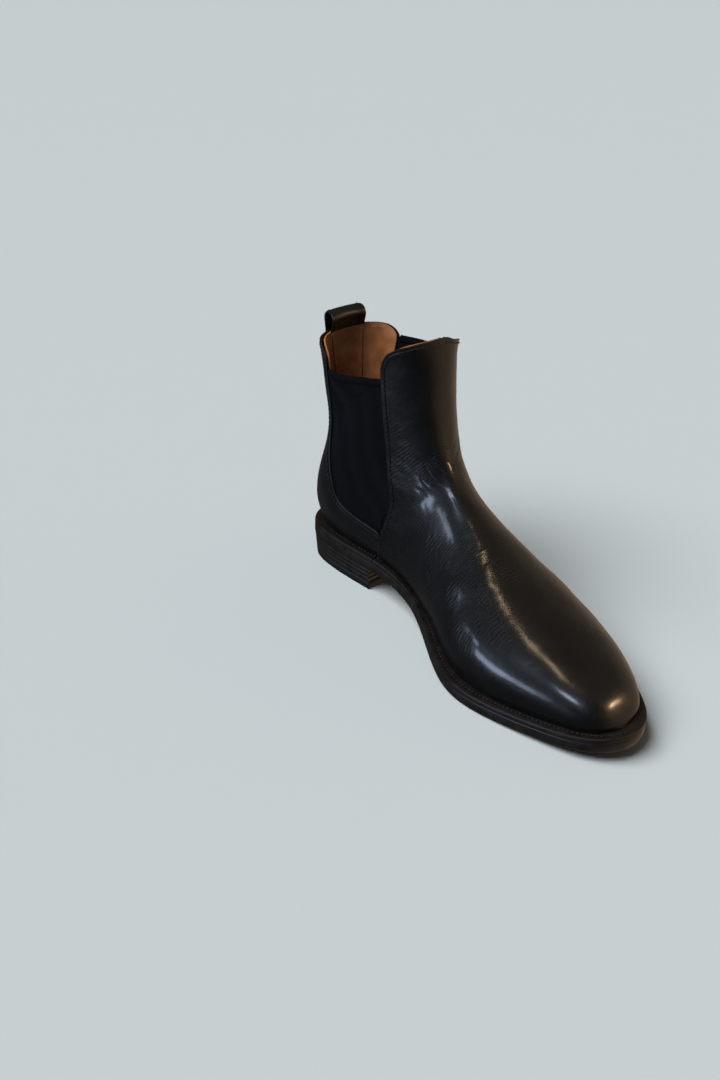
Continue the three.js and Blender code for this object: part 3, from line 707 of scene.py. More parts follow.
@dataclass(frozen=True)
class Finish:
    """A material's uniform values; its subclasses add the pattern that its making gives the surface.

    Patterns are read on the object's own coordinates, in metres, or on the piece's skin map where they follow
    the surface.
    """

    name: str
    dark: str
    light: str
    roughness: float
    ior: float = 1.5
    metallic: float = 0.0
    coat: float = 0.0
    coat_roughness: float = 0.2
    specular: float = 0.5

    def build(self) -> bpy.types.Material:
        """The finished material."""
        material = bpy.data.materials.new(self.name)
        material.use_nodes = True
        tree = material.node_tree
        tree.nodes.clear()
        look = {
            "Metallic": self.metallic, "IOR": self.ior, "Roughness": self.roughness,
            "Specular_IOR_Level": self.specular, "Coat_Weight": self.coat,
            "Coat_Roughness": self.coat_roughness, **self.dress(tree),
        }
        shader = add_node(tree, "ShaderNodeBsdfPrincipled", **look)
        add_node(tree, "ShaderNodeOutputMaterial", Surface=shader.outputs["BSDF"])
        return material

    def tinted(self, tree: bpy.types.NodeTree, share: bpy.types.NodeSocket) -> bpy.types.NodeSocket:
        """The finish's colour, from the dark code at a share of 0 to the light one at 1."""
        mixed = add_node(tree, "ShaderNodeMix", {"data_type": "RGBA"}, i0=share, i6=colour(self.dark),
                         i7=colour(self.light))
        return mixed.outputs[2]

    def clouds(self, tree: bpy.types.NodeTree, place: bpy.types.NodeSocket, size: float, detail: float,
               shine: tuple[float, float] = (0.0, 0.0)) -> Sockets:
        """Clouds in the colour, and in the roughness with them.

        Args:
            tree: The material's tree.
            place: Where they are read.
            size: Their size in millimetres.
            detail: How many finer sizes are added.
            shine: What the dark and the light clouds add to the roughness.

        Returns:
            The colour and the roughness.
        """
        noise = add_node(tree, "ShaderNodeTexNoise", Vector=place, Scale=1.0 / (size * MM), Detail=detail)
        share = add_node(tree, "ShaderNodeMapRange", Value=noise.outputs["Fac"], From_Min=0.3, From_Max=0.7)
        rough = add_node(tree, "ShaderNodeMapRange", Value=noise.outputs["Fac"], From_Min=0.3, From_Max=0.7,
                         To_Min=self.roughness + shine[0], To_Max=self.roughness + shine[1])
        tint = self.tinted(tree, share.outputs["Result"])
        return {"Base_Color": tint, "Roughness": rough.outputs["Result"]}

    @staticmethod
    def pebbled(tree: bpy.types.NodeTree, place: bpy.types.NodeSocket,
                layers: Sequence[tuple[float, float, float]],
                under: bpy.types.NodeSocket | None = None) -> bpy.types.NodeSocket:
        """Bumps of soft noise, one on another.

        Args:
            tree: The material's tree.
            place: Where they are read.
            layers: Each bump's size in millimetres, detail and depth in millimetres, the lowest first.
            under: A bump that lies under them all.

        Returns:
            The bumped normal.
        """
        lower = {} if under is None else {"Normal": under}
        for size, detail, depth in layers:
            noise = add_node(tree, "ShaderNodeTexNoise", Vector=place, Scale=1.0 / (size * MM), Detail=detail)
            bump = add_node(tree, "ShaderNodeBump", Height=noise.outputs["Fac"], Distance=depth * MM, **lower)
            lower = {"Normal": bump.outputs["Normal"]}
        return lower["Normal"]

    def dress(self, tree: bpy.types.NodeTree) -> Sockets:
        """Colour that drifts between the two codes over a few millimetres, and a fine bump."""
        place = add_node(tree, "ShaderNodeTexCoord").outputs["Object"]
        look = self.clouds(tree, place, 6.0, 3.0)
        return {**look, "Normal": self.pebbled(tree, place, [(0.6, 3.0, 0.05)])}


@dataclass(frozen=True)
class BoxCalf(Finish):
    """Aniline-dyed box calf, glazed and polished: tight grain, soft gloss, and fine lines where it flexes."""

    grain: float = 0.5
    line_pitch: float = 2.5
    groove_at: float = 2.3
    groove_half: float = 0.85

    def dress(self, tree: bpy.types.NodeTree) -> Sockets:
        """Grain over two sizes of swell, over the dent that the stitches pull, over the flex lines."""
        place = add_node(tree, "ShaderNodeTexCoord").outputs["Object"]
        flex = add_node(tree, "ShaderNodeAttribute", {"attribute_name": "flex"}).outputs["Fac"]
        look = self.clouds(tree, place, 18.0, 4.0, (-0.05, 0.06))
        worn = add_node(tree, "ShaderNodeMath", {"operation": "MULTIPLY_ADD"}, i0=flex, i1=0.06,
                        i2=look["Roughness"])
        sewn = self.dented(tree, self.flexed(tree, place, flex))
        swells = [(10.0, 2.0, 0.5), (3.4, 2.0, 0.1), (self.grain, 2.0, 0.035)]
        return {**look, "Roughness": worn.outputs[0], "Normal": self.pebbled(tree, place, swells, sewn)}

    def flexed(self, tree: bpy.types.NodeTree, place: bpy.types.NodeSocket,
               flex: bpy.types.NodeSocket) -> bpy.types.NodeSocket:
        """Flex lines: the narrow low parts of a bent wave along the skin, in patches where it flexes."""
        skin = add_node(tree, "ShaderNodeUVMap", {"uv_map": "Skin"}).outputs["UV"]
        wave = add_node(tree, "ShaderNodeTexWave", {"bands_direction": "Y"}, Vector=skin,
                        Scale=WAVE / (self.line_pitch * MM), Distortion=5.0, Detail=2.0, Detail_Scale=1.1,
                        Detail_Roughness=0.55)
        lines = add_node(tree, "ShaderNodeMapRange", Value=wave.outputs["Fac"], From_Min=0.0, From_Max=0.55)
        noise = add_node(tree, "ShaderNodeTexNoise", Vector=place, Scale=1.0 / (11.0 * MM), Detail=3.0)
        patchy = add_node(tree, "ShaderNodeMapRange", Value=noise.outputs["Fac"], From_Min=0.4, From_Max=0.6)
        strength = add_node(tree, "ShaderNodeMath", {"operation": "MULTIPLY"}, i0=flex,
                            i1=patchy.outputs["Result"])
        bump = add_node(tree, "ShaderNodeBump", Height=lines.outputs["Result"], Distance=0.2 * MM,
                        Strength=strength.outputs[0])
        return bump.outputs["Normal"]

    def dented(self, tree: bpy.types.NodeTree, under: bpy.types.NodeSocket) -> bpy.types.NodeSocket:
        """The stitches' dent: a groove whose middle lies at a fixed distance from the sewn edge."""
        rim = add_node(tree, "ShaderNodeAttribute", {"attribute_name": "rim"}).outputs["Fac"]
        off = add_node(tree, "ShaderNodeMath", {"operation": "SUBTRACT"}, i0=rim, i1=self.groove_at)
        far = add_node(tree, "ShaderNodeMath", {"operation": "ABSOLUTE"}, i0=off.outputs[0])
        dent = add_node(tree, "ShaderNodeMapRange", {"interpolation_type": "SMOOTHSTEP"},
                        Value=far.outputs[0], From_Min=0.0, From_Max=self.groove_half)
        bump = add_node(tree, "ShaderNodeBump", Height=dent.outputs["Result"], Distance=0.4 * MM,
                        Normal=under)
        return bump.outputs["Normal"]


@dataclass(frozen=True)
class RibbedElastic(Finish):
    """Elastic webbing: rubber warps under a spun cover, which stand up as fine vertical ribs."""

    rib: float = 1.15
    weft: float = 0.7

    def dress(self, tree: bpy.types.NodeTree) -> Sockets:
        """Ribs across the skin map's u with furrows in painted shade, crossed by a weft too fine to see one
        by one.
        """
        skin = add_node(tree, "ShaderNodeUVMap", {"uv_map": "Skin"}).outputs["UV"]
        ribs = add_node(tree, "ShaderNodeTexWave", {"bands_direction": "X"}, Vector=skin,
                        Scale=WAVE / (self.rib * MM)).outputs["Fac"]
        weft = add_node(tree, "ShaderNodeTexWave", {"bands_direction": "Y"}, Vector=skin,
                        Scale=WAVE / (self.weft * MM), Distortion=1.4, Detail=2.0).outputs["Fac"]
        raised = add_node(tree, "ShaderNodeBump", Height=ribs, Distance=0.15 * MM).outputs["Normal"]
        woven = add_node(tree, "ShaderNodeBump", Height=weft, Distance=0.06 * MM, Normal=raised)
        # The colour follows the ribs' wave: darker in the furrows, as painted shade.
        return {"Base_Color": self.tinted(tree, ribs), "Normal": woven.outputs["Normal"]}


@dataclass(frozen=True)
class WovenTape(Finish):
    """Herringbone binding tape, as slanting lines each way."""

    pitch: float = 0.6

    def dress(self, tree: bpy.types.NodeTree) -> Sockets:
        """Diagonal waves along the tape."""
        place = add_node(tree, "ShaderNodeTexCoord").outputs["Object"]
        lines = add_node(tree, "ShaderNodeTexWave", {"bands_direction": "DIAGONAL"}, Vector=place,
                         Scale=WAVE / (self.pitch * MM), Distortion=0.5).outputs["Fac"]
        woven = add_node(tree, "ShaderNodeBump", Height=lines, Distance=0.12 * MM)
        return {"Base_Color": self.tinted(tree, lines), "Normal": woven.outputs["Normal"]}


@dataclass(frozen=True)
class LiningLeather(Finish):
    """Unglazed vegetable-tanned lining calf: matt, with clouds of deeper tan where it has been handled."""

    def dress(self, tree: bpy.types.NodeTree) -> Sockets:
        """Clouds in the colour and the gloss, and two sizes of pebble."""
        place = add_node(tree, "ShaderNodeTexCoord").outputs["Object"]
        look = self.clouds(tree, place, 14.0, 5.0, (0.08, -0.06))
        return {**look, "Normal": self.pebbled(tree, place, [(2.6, 3.0, 0.1), (0.45, 3.0, 0.06)])}


@dataclass(frozen=True)
class InkedEdge(Finish):
    """Sole leather cut, sanded, inked and waxed: layers of fibre still show as faint lines along the edge."""

    def dress(self, tree: bpy.types.NodeTree) -> Sockets:
        """Fine fibres drawn out level along the edge, with wax clouds in the gloss."""
        place = add_node(tree, "ShaderNodeTexCoord").outputs["Object"]
        level = add_node(tree, "ShaderNodeMapping", Vector=place, Scale=(0.12, 0.12, 1.0)).outputs["Vector"]
        look = self.clouds(tree, place, 7.0, 4.0, (-0.08, 0.12))
        fibres = self.pebbled(tree, level, [(0.5, 3.0, 0.02)])
        return {**look, "Normal": self.pebbled(tree, place, [(0.8, 3.0, 0.05)], fibres)}


@dataclass(frozen=True)
class CorkGranulate(Finish):
    """Ground cork in a binder: pale grains with dark joints."""

    grain: float = 2.0

    def dress(self, tree: bpy.types.NodeTree) -> Sockets:
        """One cell for each grain, light at its middle and dark at its rim."""
        place = add_node(tree, "ShaderNodeTexCoord").outputs["Object"]
        cells = add_node(tree, "ShaderNodeTexVoronoi", Vector=place, Scale=1.0 / (self.grain * MM))
        middle = cells.outputs["Distance"]
        share = add_node(tree, "ShaderNodeMapRange", Value=middle, From_Min=0.7, From_Max=0.1)
        bump = add_node(tree, "ShaderNodeBump", Height=middle, Distance=0.2 * MM)
        return {"Base_Color": self.tinted(tree, share.outputs["Result"]), "Normal": bump.outputs["Normal"]}


@dataclass(frozen=True)
class BrushedMetal(Finish):
    """Drawn or rolled metal with fine lines along its length."""

    def dress(self, tree: bpy.types.NodeTree) -> Sockets:
        """A stretched noise for the brush lines."""
        place = add_node(tree, "ShaderNodeTexCoord").outputs["Object"]
        drawn = add_node(tree, "ShaderNodeMapping", Vector=place, Scale=(1.0, 0.08, 1.0)).outputs["Vector"]
        lines = add_node(tree, "ShaderNodeTexNoise", Vector=drawn, Scale=1.0 / (0.4 * MM), Detail=3.0)
        bump = add_node(tree, "ShaderNodeBump", Height=lines.outputs["Fac"], Distance=0.02 * MM)
        return {"Base_Color": self.tinted(tree, lines.outputs["Fac"]), "Normal": bump.outputs["Normal"]}


class Finishes:
    """Every material of the boot, built once."""

    def __init__(self) -> None:
        """Builds them all."""
        self.calf = BoxCalf("black_box_calf", "#050505", "#0a0a0a", 0.42, coat=0.6, coat_roughness=0.19,
                            specular=0.34).build()
        self.strap = BoxCalf("black_strap_calf", "#08080a", "#111113", 0.42, coat=0.15, coat_roughness=0.3,
                             grain=0.6).build()
        # The calf's cut edge: its own grey-brown, made lighter than the calf as a painted highlight along
        # each panel's rounded rim.
        self.raw_edge_and_highlight = Finish("cut_calf_edge_and_highlight", "#121010", "#26211e", 0.65).build()
        self.elastic = RibbedElastic("ribbed_elastic", "#06070a", "#0f1218", 0.8, specular=0.12).build()
        self.tape = WovenTape("binding_tape", "#050506", "#0c0d10", 0.85, specular=0.15).build()
        self.lining = LiningLeather("tan_lining_calf", "#85501f", "#b97a4f", 0.6).build()
        self.thread = Finish("waxed_linen_thread", "#0b0b0c", "#19191a", 0.45).build()
        self.lining_thread = Finish("tan_linen_thread", "#a06c42", "#c9976c", 0.6).build()
        self.welt = InkedEdge("inked_welt_leather", "#100d0b", "#1e1814", 0.48).build()
        self.edge = InkedEdge("inked_sole_edge", "#120f0d", "#221b17", 0.42, coat=0.1).build()
        self.sole = LiningLeather("oak_bark_sole_leather", "#3a2417", "#553824", 0.5).build()
        self.rubber = Finish("moulded_rubber", "#0b0b0b", "#161616", 0.65).build()
        self.board = LiningLeather("insole_shoulder", "#8b6a45", "#a98557", 0.75).build()
        self.stiffener = LiningLeather("leather_board", "#5f4a33", "#7c6547", 0.85).build()
        self.cork = CorkGranulate("ground_cork", "#5b3a20", "#a5773f", 0.9).build()
        self.steel = BrushedMetal("rolled_spring_steel", "#8d9298", "#b9bdc2", 0.35, metallic=1.0).build()
        self.brass = BrushedMetal("drawn_brass", "#a88440", "#cfae66", 0.3, metallic=1.0).build()


# ---------------------------------------------------------------------------------------- stitches


@dataclass(frozen=True)
class Seam:
    """How a row of lock stitches is made: pitch, thread and how far each stitch sinks."""

    pitch: float = 3.0
    length: float = 2.2
    radius: float = 0.36
    sink: float = 0.08
    slant: float = 0.16

    def row(self, path: Array, normals: Array) -> Surface:
        """Stitches along a path: one small six-sided spindle per pitch, turned slightly from the row's line.

        The spindle's radius is radius times the square root of 1 - w^6 at share w of its half length, so that
        it is a rod with round ends, and it sinks at both ends where the thread goes down through its holes.

        Args:
            path: The row's line, points by 3.
            normals: The leather's outward normals on it.

        Returns:
            All stitches as one surface.
        """
        run = run_of(path)
        count = max(int(run[-1] / self.pitch), 1)
        places = (np.arange(count) + 0.5) * run[-1] / count
        def at(values: Array, where: Array) -> Array:
            """Values of the path at distances along it."""
            return np.stack([np.interp(where, run, values[:, k]) for k in range(3)], axis=-1)
        centre = at(path, places)
        ahead, behind = np.minimum(places + 0.6, run[-1]), np.maximum(places - 0.6, 0.0)
        along = unit(at(path, ahead) - at(path, behind))
        up = unit(at(normals, places))
        across = unit(np.cross(up, along))
        along = unit(along + across * self.slant)
        across = unit(np.cross(up, along))
        shares = np.array([-1.0, -0.9, -0.6, 0.0, 0.6, 0.9, 1.0])
        widths = self.radius * np.sqrt(np.maximum(1.0 - np.abs(shares) ** 6, 0.02))
        turn = np.linspace(0.0, 2.0 * np.pi, 7)[:-1]
        lift = (self.radius - self.sink) * (1.0 - 1.6 * np.abs(shares) ** 4)
        ring = np.stack([np.cos(turn), np.sin(turn)], axis=-1)
        forward = (shares * self.length / 2.0)[None, :, None, None]
        sideways = (widths[:, None] * ring[None, :, 0])[None, ..., None]
        upward = (widths[:, None] * ring[None, :, 1] + lift[:, None])[None, ..., None]
        local = (centre[:, None, None] + along[:, None, None] * forward
                 + across[:, None, None] * sideways + up[:, None, None] * upward)
        per = len(shares) * len(turn)
        number = np.arange(per).reshape(len(shares), len(turn))
        one = np.vstack([ring_faces(number[k], number[k + 1]) for k in range(len(shares) - 1)])
        ends = number[[0, -1]]
        one = np.vstack([one, ends[:, [0, 1, 2, 3]], ends[:, [0, 3, 4, 5]]])
        faces = (one[None] + (np.arange(count) * per)[:, None, None]).reshape(-1, 4)
        return Surface(local.reshape(-1, 3), faces, np.zeros((count * per, 2)), np.zeros(len(faces), int))


def sew(name: str, rows: Sequence[Surface], thread: bpy.types.Material) -> bpy.types.Object:
    """Rows of stitches as one object, with its slot."""
    made = make_object(name, joined(rows), [thread])
    return made


def inset_path(edge: Array, normals: Array, distance: float, towards: Array) -> Array:
    """A line that runs a distance inside an edge, on the side of a given place."""
    along = unit(np.gradient(edge, axis=0))
    inward = unit(np.cross(normals, along))
    sign = np.sign(np.sum(inward * (towards - edge), axis=1, keepdims=True))
    return edge + inward * np.where(sign == 0, 1.0, sign) * distance


# ----------------------------------------------------------------------------------------- creases


@dataclass(frozen=True)
class CreaseZone:
    """A patch of parallel folds.

    It has its centre and reach on the last, the way the folds follow each other, and their pitch and depth in
    millimetres.
    """

    t: float
    q: float
    reach_t: float
    reach_q: float
    heading: tuple[float, float, float]
    pitch: float
    depth: float
    seed: int

    def mask(self, t: Array, q: Array) -> Array:
        """Share of the folds' depth: a bell over the patch."""
        return np.exp(-(((t - self.t) / self.reach_t) ** 2) - ((q - self.q) / self.reach_q) ** 2)

    def relief(self, points: Array, t: Array, q: Array) -> Array:
        """Depth of the folds: narrow valleys from the cube of 1 - |sin|, bent by noise."""
        heading = unit(np.array(self.heading, float))
        bend = 0.55 * value_noise(points, 16.0, self.seed)
        bend = bend + 0.22 * value_noise(points, 6.0, self.seed + 1)
        phase = points @ heading / self.pitch + bend
        valley = (1.0 - np.abs(np.sin(np.pi * phase))) ** 3
        patchy = smooth(value_noise(points, 11.0, self.seed + 2), -0.45, 0.35)
        return -self.depth * self.mask(t, q) * patchy * valley


CREASES = (
    CreaseZone(6.35, 0.13, 0.85, 0.11, (0.15, -1.0, 0.35), 4.6, 0.5, 11),
    CreaseZone(6.2, 0.87, 0.85, 0.11, (-0.15, -1.0, 0.35), 4.8, 0.5, 12),
    CreaseZone(6.6, 0.4, 0.8, 0.16, (0.0, -1.0, 0.25), 6.0, 0.35, 13),
    CreaseZone(10.0, 0.4, 1.1, 0.12, (0.0, -0.55, 0.85), 6.5, 0.55, 14),
    CreaseZone(10.0, 0.6, 1.1, 0.12, (0.0, -0.55, 0.85), 6.8, 0.5, 15),
    CreaseZone(9.3, 0.2, 0.7, 0.07, (0.0, -0.75, 0.6), 5.2, 0.5, 16),
    CreaseZone(9.3, 0.8, 0.7, 0.07, (0.0, -0.75, 0.6), 5.4, 0.5, 17),
    CreaseZone(11.2, 0.09, 0.9, 0.05, (0.0, -0.3, 0.95), 5.0, 0.3, 18),
    CreaseZone(11.2, 0.91, 0.9, 0.05, (0.0, -0.3, 0.95), 5.0, 0.3, 19),
    CreaseZone(7.3, 0.26, 0.9, 0.09, (0.3, -1.0, 0.3), 4.8, 0.45, 20),
    CreaseZone(5.6, 0.3, 0.5, 0.08, (0.25, -1.0, 0.3), 5.2, 0.35, 21),
)


def flex_share(t: Array, q: Array) -> Array:
    """How much the leather flexes here, from 0 to 1: the strongest of the crease zones' masks, widened."""
    turn = q - np.floor(q)
    wide = [replace(zone, reach_t=1.5 * zone.reach_t, reach_q=1.4 * zone.reach_q) for zone in CREASES]
    return np.clip(np.max([zone.mask(t, turn) for zone in wide], axis=0) * 1.15, 0.0, 1.0)


def calf_relief(points: Array, t: Array, q: Array) -> Array:
    """Relief of worn calf: all crease zones, and two slow swells that are stronger where it flexes."""
    turn = q - np.floor(q)
    folds = sum(zone.relief(points, t, turn) for zone in CREASES)
    flex = flex_share(t, q)
    broad = value_noise(points, 19.0, 3) * (0.35 + 0.6 * flex)
    narrow = value_noise(points, 10.0, 4) * (0.1 + 0.25 * flex)
    return folds + (broad + narrow)


# --------------------------------------------------------------------------------------- the upper


# The distance to a seam, in millimetres, that a panel with no seam carries: past the reach of any dent.
NO_SEAM = 99.0


@dataclass
class WallPanel:
    """One panel of the wall: a grid over t and q between two boundary lines, at two depths.

    Its seams are the boundary lines that are sewn, each with the t where the sewing starts and ends.
    """

    low: Line
    high: Line
    start: float
    end: float
    rows: int
    columns: int
    outer: float
    inner: float
    relief: Relief | None = None
    foot: float = -0.1
    seams: tuple[tuple[Line, float, float], ...] = ()

    def grid(self) -> tuple[Array, Array]:
        """The panel's t and q: evenly spaced rows, and shares across each row."""
        t = even_rows(self.low, self.high, self.start, self.end, self.rows)[:, None]
        share = close_set(self.columns)[None, :]
        q = self.low(t) + (self.high(t) - self.low(t)) * share
        return np.broadcast_to(t, q.shape), q

    def surface(self) -> Surface:
        """The closed sheet, with its relief on the outer face."""
        t, q = self.grid()
        outer = LAST.wall(t, q, np.full(t.shape, self.outer), self.foot)
        inner = LAST.wall(t, q, np.full(t.shape, self.inner), self.foot)
        sewn = [self.edge(line, start, end)[0] for line, start, end in self.seams]
        rim = distance_to(outer, np.vstack(sewn)) if sewn else np.full(t.shape, NO_SEAM)
        if self.relief is not None:
            away = LAST.normal(t, q) * self.relief(outer, t, q)[..., None]
            outer, inner = outer + away, inner + away
        return leather_shell(outer, inner, values={"flex": flex_share(t, q), "rim": rim})

    def edge(self, line: Line, start: float, end: float) -> tuple[Array, Array, Array]:
        """Points and normals along one boundary between two rows, and places further inside the panel."""
        t = even_rows(self.low, self.high, start, end, 700)
        q = line(t)
        middle = (self.low(t) + self.high(t)) / 2.0
        points = LAST.wall(t, q, np.full(t.shape, self.outer), self.foot)
        if self.relief is not None:
            points = points + LAST.normal(t, q) * self.relief(points, t, q)[..., None]
        return points, LAST.normal(t, q), LAST.point(t - 0.3, middle)


@dataclass
class Upper:
    """The black calf of the upper: vamp, quarters and backstay, with their seams."""

    finishes: Finishes
    thickness: float = 1.4
    seam: Seam = Seam()
    edge_inset: float = 2.3
    gap: float = 0.0007

    def build(self) -> None:
        """All calf panels and their stitch rows."""
        self.vamp()
        for side in Side:
            self.quarter(side)
        self.backstay()

    def vamp(self) -> None:
        """The one-piece front, from the welt over the instep to the front topline."""
        limits = [vamp_limit(side, self.gap) for side in Side]
        sewn = (SEAM_BOTTOM + 0.02, VAMP_TOP - 0.001)
        panel = WallPanel(*limits, 0.02, VAMP_TOP, 280, 165, 0.0, self.thickness, calf_relief,
                          seams=tuple((limit, *sewn) for limit in limits))
        made = make_object("vamp_calf", panel.surface(), [self.finishes.calf, self.finishes.raw_edge_and_highlight])
        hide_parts("vamp")
        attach(made, "boot")
        rows = []
        for line in limits:
            points, normals, towards = panel.edge(line, *sewn)
            path = inset_path(points, normals, self.edge_inset, towards)
            rows.append(self.seam.row(path, normals))
        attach(sew("vamp_stitches", rows, self.finishes.thread), "boot")

    def quarter(self, side: Side) -> None:
        """A back half, from the back seam to the gore and the side seam."""
        sewn = (SEAM_BOTTOM + 0.25, QUARTER_TOP - 0.02)
        panel = WallPanel(quarter_back(side), quarter_front(side, -self.gap), SEAM_BOTTOM + 0.05, QUARTER_TOP,
                          230, 90, 0.0, self.thickness, calf_relief,
                          seams=((quarter_front(side), *sewn),))
        made = make_object(f"quarter_calf_{side.word}", panel.surface(),
                           [self.finishes.calf, self.finishes.raw_edge_and_highlight])
        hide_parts(f"quarter_{side.word}")
        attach(made, "boot")
        points, normals, towards = panel.edge(panel.high, *sewn)
        path = inset_path(points, normals, self.edge_inset, towards)
        row = self.seam.row(path, normals)
        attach(sew(f"quarter_stitches_{side.word}", [row], self.finishes.thread), "boot")

    def backstay(self) -> None:
        """The strip over the back seam, wider at the heel, with a stitch row along both edges."""
        def half(t: Array) -> Array:
            """Half width of the strip as a turn."""
            return 0.034 + 0.01 * np.maximum(14.0 - np.asarray(t), 0.0)
        panel = WallPanel(lambda t: -1.1 * half(t), half, 12.5, 18.05, 120, 26, -1.05, -0.05)
        made = make_object("backstay_calf", panel.surface(), [self.finishes.calf, self.finishes.raw_edge_and_highlight])
        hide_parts("backstay")
        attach(made, "boot")
        rows = []
        for line in (panel.low, panel.high):
            points, normals, towards = panel.edge(line, 12.35, 17.0)
            rows.append(self.seam.row(inset_path(points, normals, 1.8, towards), normals))
        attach(sew("backstay_stitches", rows, self.finishes.thread), "boot")


@dataclass
class Gores:
    """The elastic side panels and the tape along their top edges."""

    finishes: Finishes
    outer: float = 1.5
    inner: float = 2.7
    lap: float = 0.02
    rib: float = 1.15
    tape_width: float = 3.5

    def build(self) -> None:
        """Both gores and both tapes."""
        for side in Side:
            self.gore(side)
            self.tape(side)

    def gore(self, side: Side) -> None:
        """A curved sheet that starts under the quarter and ends under the vamp."""
        low, high = quarter_front(side, -self.lap), gore_front(side, self.lap)
        panel = WallPanel(low, high, SEAM_BOTTOM + 0.15, float(GORE_TOP[side][-1, 0]), 130, 250, self.outer,
                          self.inner, self.relief)
        made = make_object(f"elastic_{side.word}", panel.surface(), [self.finishes.elastic] * 2)
        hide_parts(f"gore_{side.word}")
        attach(made, "boot")

    def relief(self, points: Array, t: Array, q: Array) -> Array:
        """Ribs, as a cosine of the distance from the middle warp, on a slow wave left by stretching."""
        steps = np.linalg.norm(np.diff(points, axis=1, prepend=points[:, :1]), axis=2)
        across = np.cumsum(steps, axis=1)
        across = across - across[:, across.shape[1] // 2][:, None]
        slow = value_noise(points * np.array([1.0, 1.0, 0.35]), 12.0, 21)
        return 0.3 * slow - 0.1 * np.cos(2.0 * np.pi * across / self.rib)

    def tape(self, side: Side) -> None:
        """The tape folded over the top edge.

        Its section is a U: two plies on the elastic's faces, joined by half circles over the edge. The
        section is carried along the edge, with its height square to the edge and its depth along the
        surface's normal.
        """
        line = GORE_TOP[side]
        run = run_of(LAST.point(line[:, 0], side.turn(line[:, 1])))
        places = np.linspace(0.03, 0.98, 110) * run[-1]
        t, q = np.interp(places, run, line[:, 0]), side.turn(np.interp(places, run, line[:, 1]))
        edge, normal = LAST.point(t, q), LAST.normal(t, q)
        up = unit(np.cross(normal, np.gradient(edge, axis=0)))
        up = up * np.sign(up[:, 2:])
        fold = np.linspace(0.0, np.pi, 9)
        middle, outer_r, inner_r = (self.outer + self.inner) / 2.0, 1.05, 0.7
        low, half = -self.tape_width, -self.tape_width / 2.0
        rise = np.concatenate([[low, half], 0.1 + outer_r * np.sin(fold), [half, low, low, half],
                               0.1 + inner_r * np.sin(fold[::-1]), [half, low]])
        depth = np.concatenate([[middle - outer_r] * 2, middle - outer_r * np.cos(fold),
                                [middle + outer_r] * 2, [middle + inner_r] * 2,
                                middle - inner_r * np.cos(fold[::-1]), [middle - inner_r] * 2])
        rings = edge[:, None] - normal[:, None] * depth[None, :, None] + up[:, None] * rise[None, :, None]
        made = make_object(f"tape_{side.word}", swept(rings), [self.finishes.tape])
        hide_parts(f"gore_binding_{side.word}")
        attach(made, "boot")


@dataclass
class Lining:
    """The tan lining: front part, back parts and the band inside the back."""

    finishes: Finishes
    outer: float = 2.9
    inner: float = 4.1

    def build(self) -> None:
        """All lining parts."""
        tan = [self.finishes.lining, self.finishes.lining]
        limits = [vamp_limit(side, 0.008, 0.17) for side in Side]
        front = WallPanel(*limits, 0.1, VAMP_TOP - 0.2, 130, 80, self.outer, self.inner, foot=0.2)
        self.panel(front, "front_lining", "vamp_lining", tan)
        for side in Side:
            back = WallPanel(quarter_back(side), quarter_front(side, -0.001), SEAM_BOTTOM + 0.1,
                             QUARTER_TOP - 0.02, 130, 40, self.outer, self.inner, foot=0.2)
            self.panel(back, f"back_lining_{side.word}", f"quarter_lining_{side.word}", tan)
        band = WallPanel(lambda t: np.full_like(t, -0.056), lambda t: np.full_like(t, 0.052), 13.0, 18.22,
                         90, 30, self.inner + 0.02, self.inner + 0.9)
        self.panel(band, "back_band", "back_lining_band", tan)
        self.band_stitches()

    def band_stitches(self) -> None:
        """A row down each edge of the band, and one just under the back topline."""
        seam = Seam(pitch=2.3, length=1.8, radius=0.26)
        down = np.linspace(14.0, 18.12, 300)
        rows = []
        for q in (-0.05, 0.046):
            turn = np.full(300, q)
            path = LAST.wall(down, turn, np.full(300, self.inner + 0.9))
            rows.append(seam.row(path, -LAST.normal(down, turn)))
        for side in Side:
            line = QUARTER_EDGE[side][::-1]
            q = np.linspace(0.0, 0.125, 200)
            t = np.interp(q, line[:, 1][:200], line[:, 0][:200]) - 0.13
            turn = side.turn(q)
            depth = np.where(q < 0.054, self.inner + 0.9, self.inner)
            rows.append(seam.row(LAST.wall(t, turn, depth), -LAST.normal(t, turn)))
        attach(sew("band_stitches", rows, self.finishes.lining_thread), "boot")

    def panel(self, panel: WallPanel, name: str, node: str,
              materials: Sequence[bpy.types.Material]) -> None:
        """One part of the lining in place of its solid."""
        made = make_object(name, panel.surface(), materials)
        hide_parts(node)
        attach(made, "boot")


# ----------------------------------------------------------------------------------- the pull loop


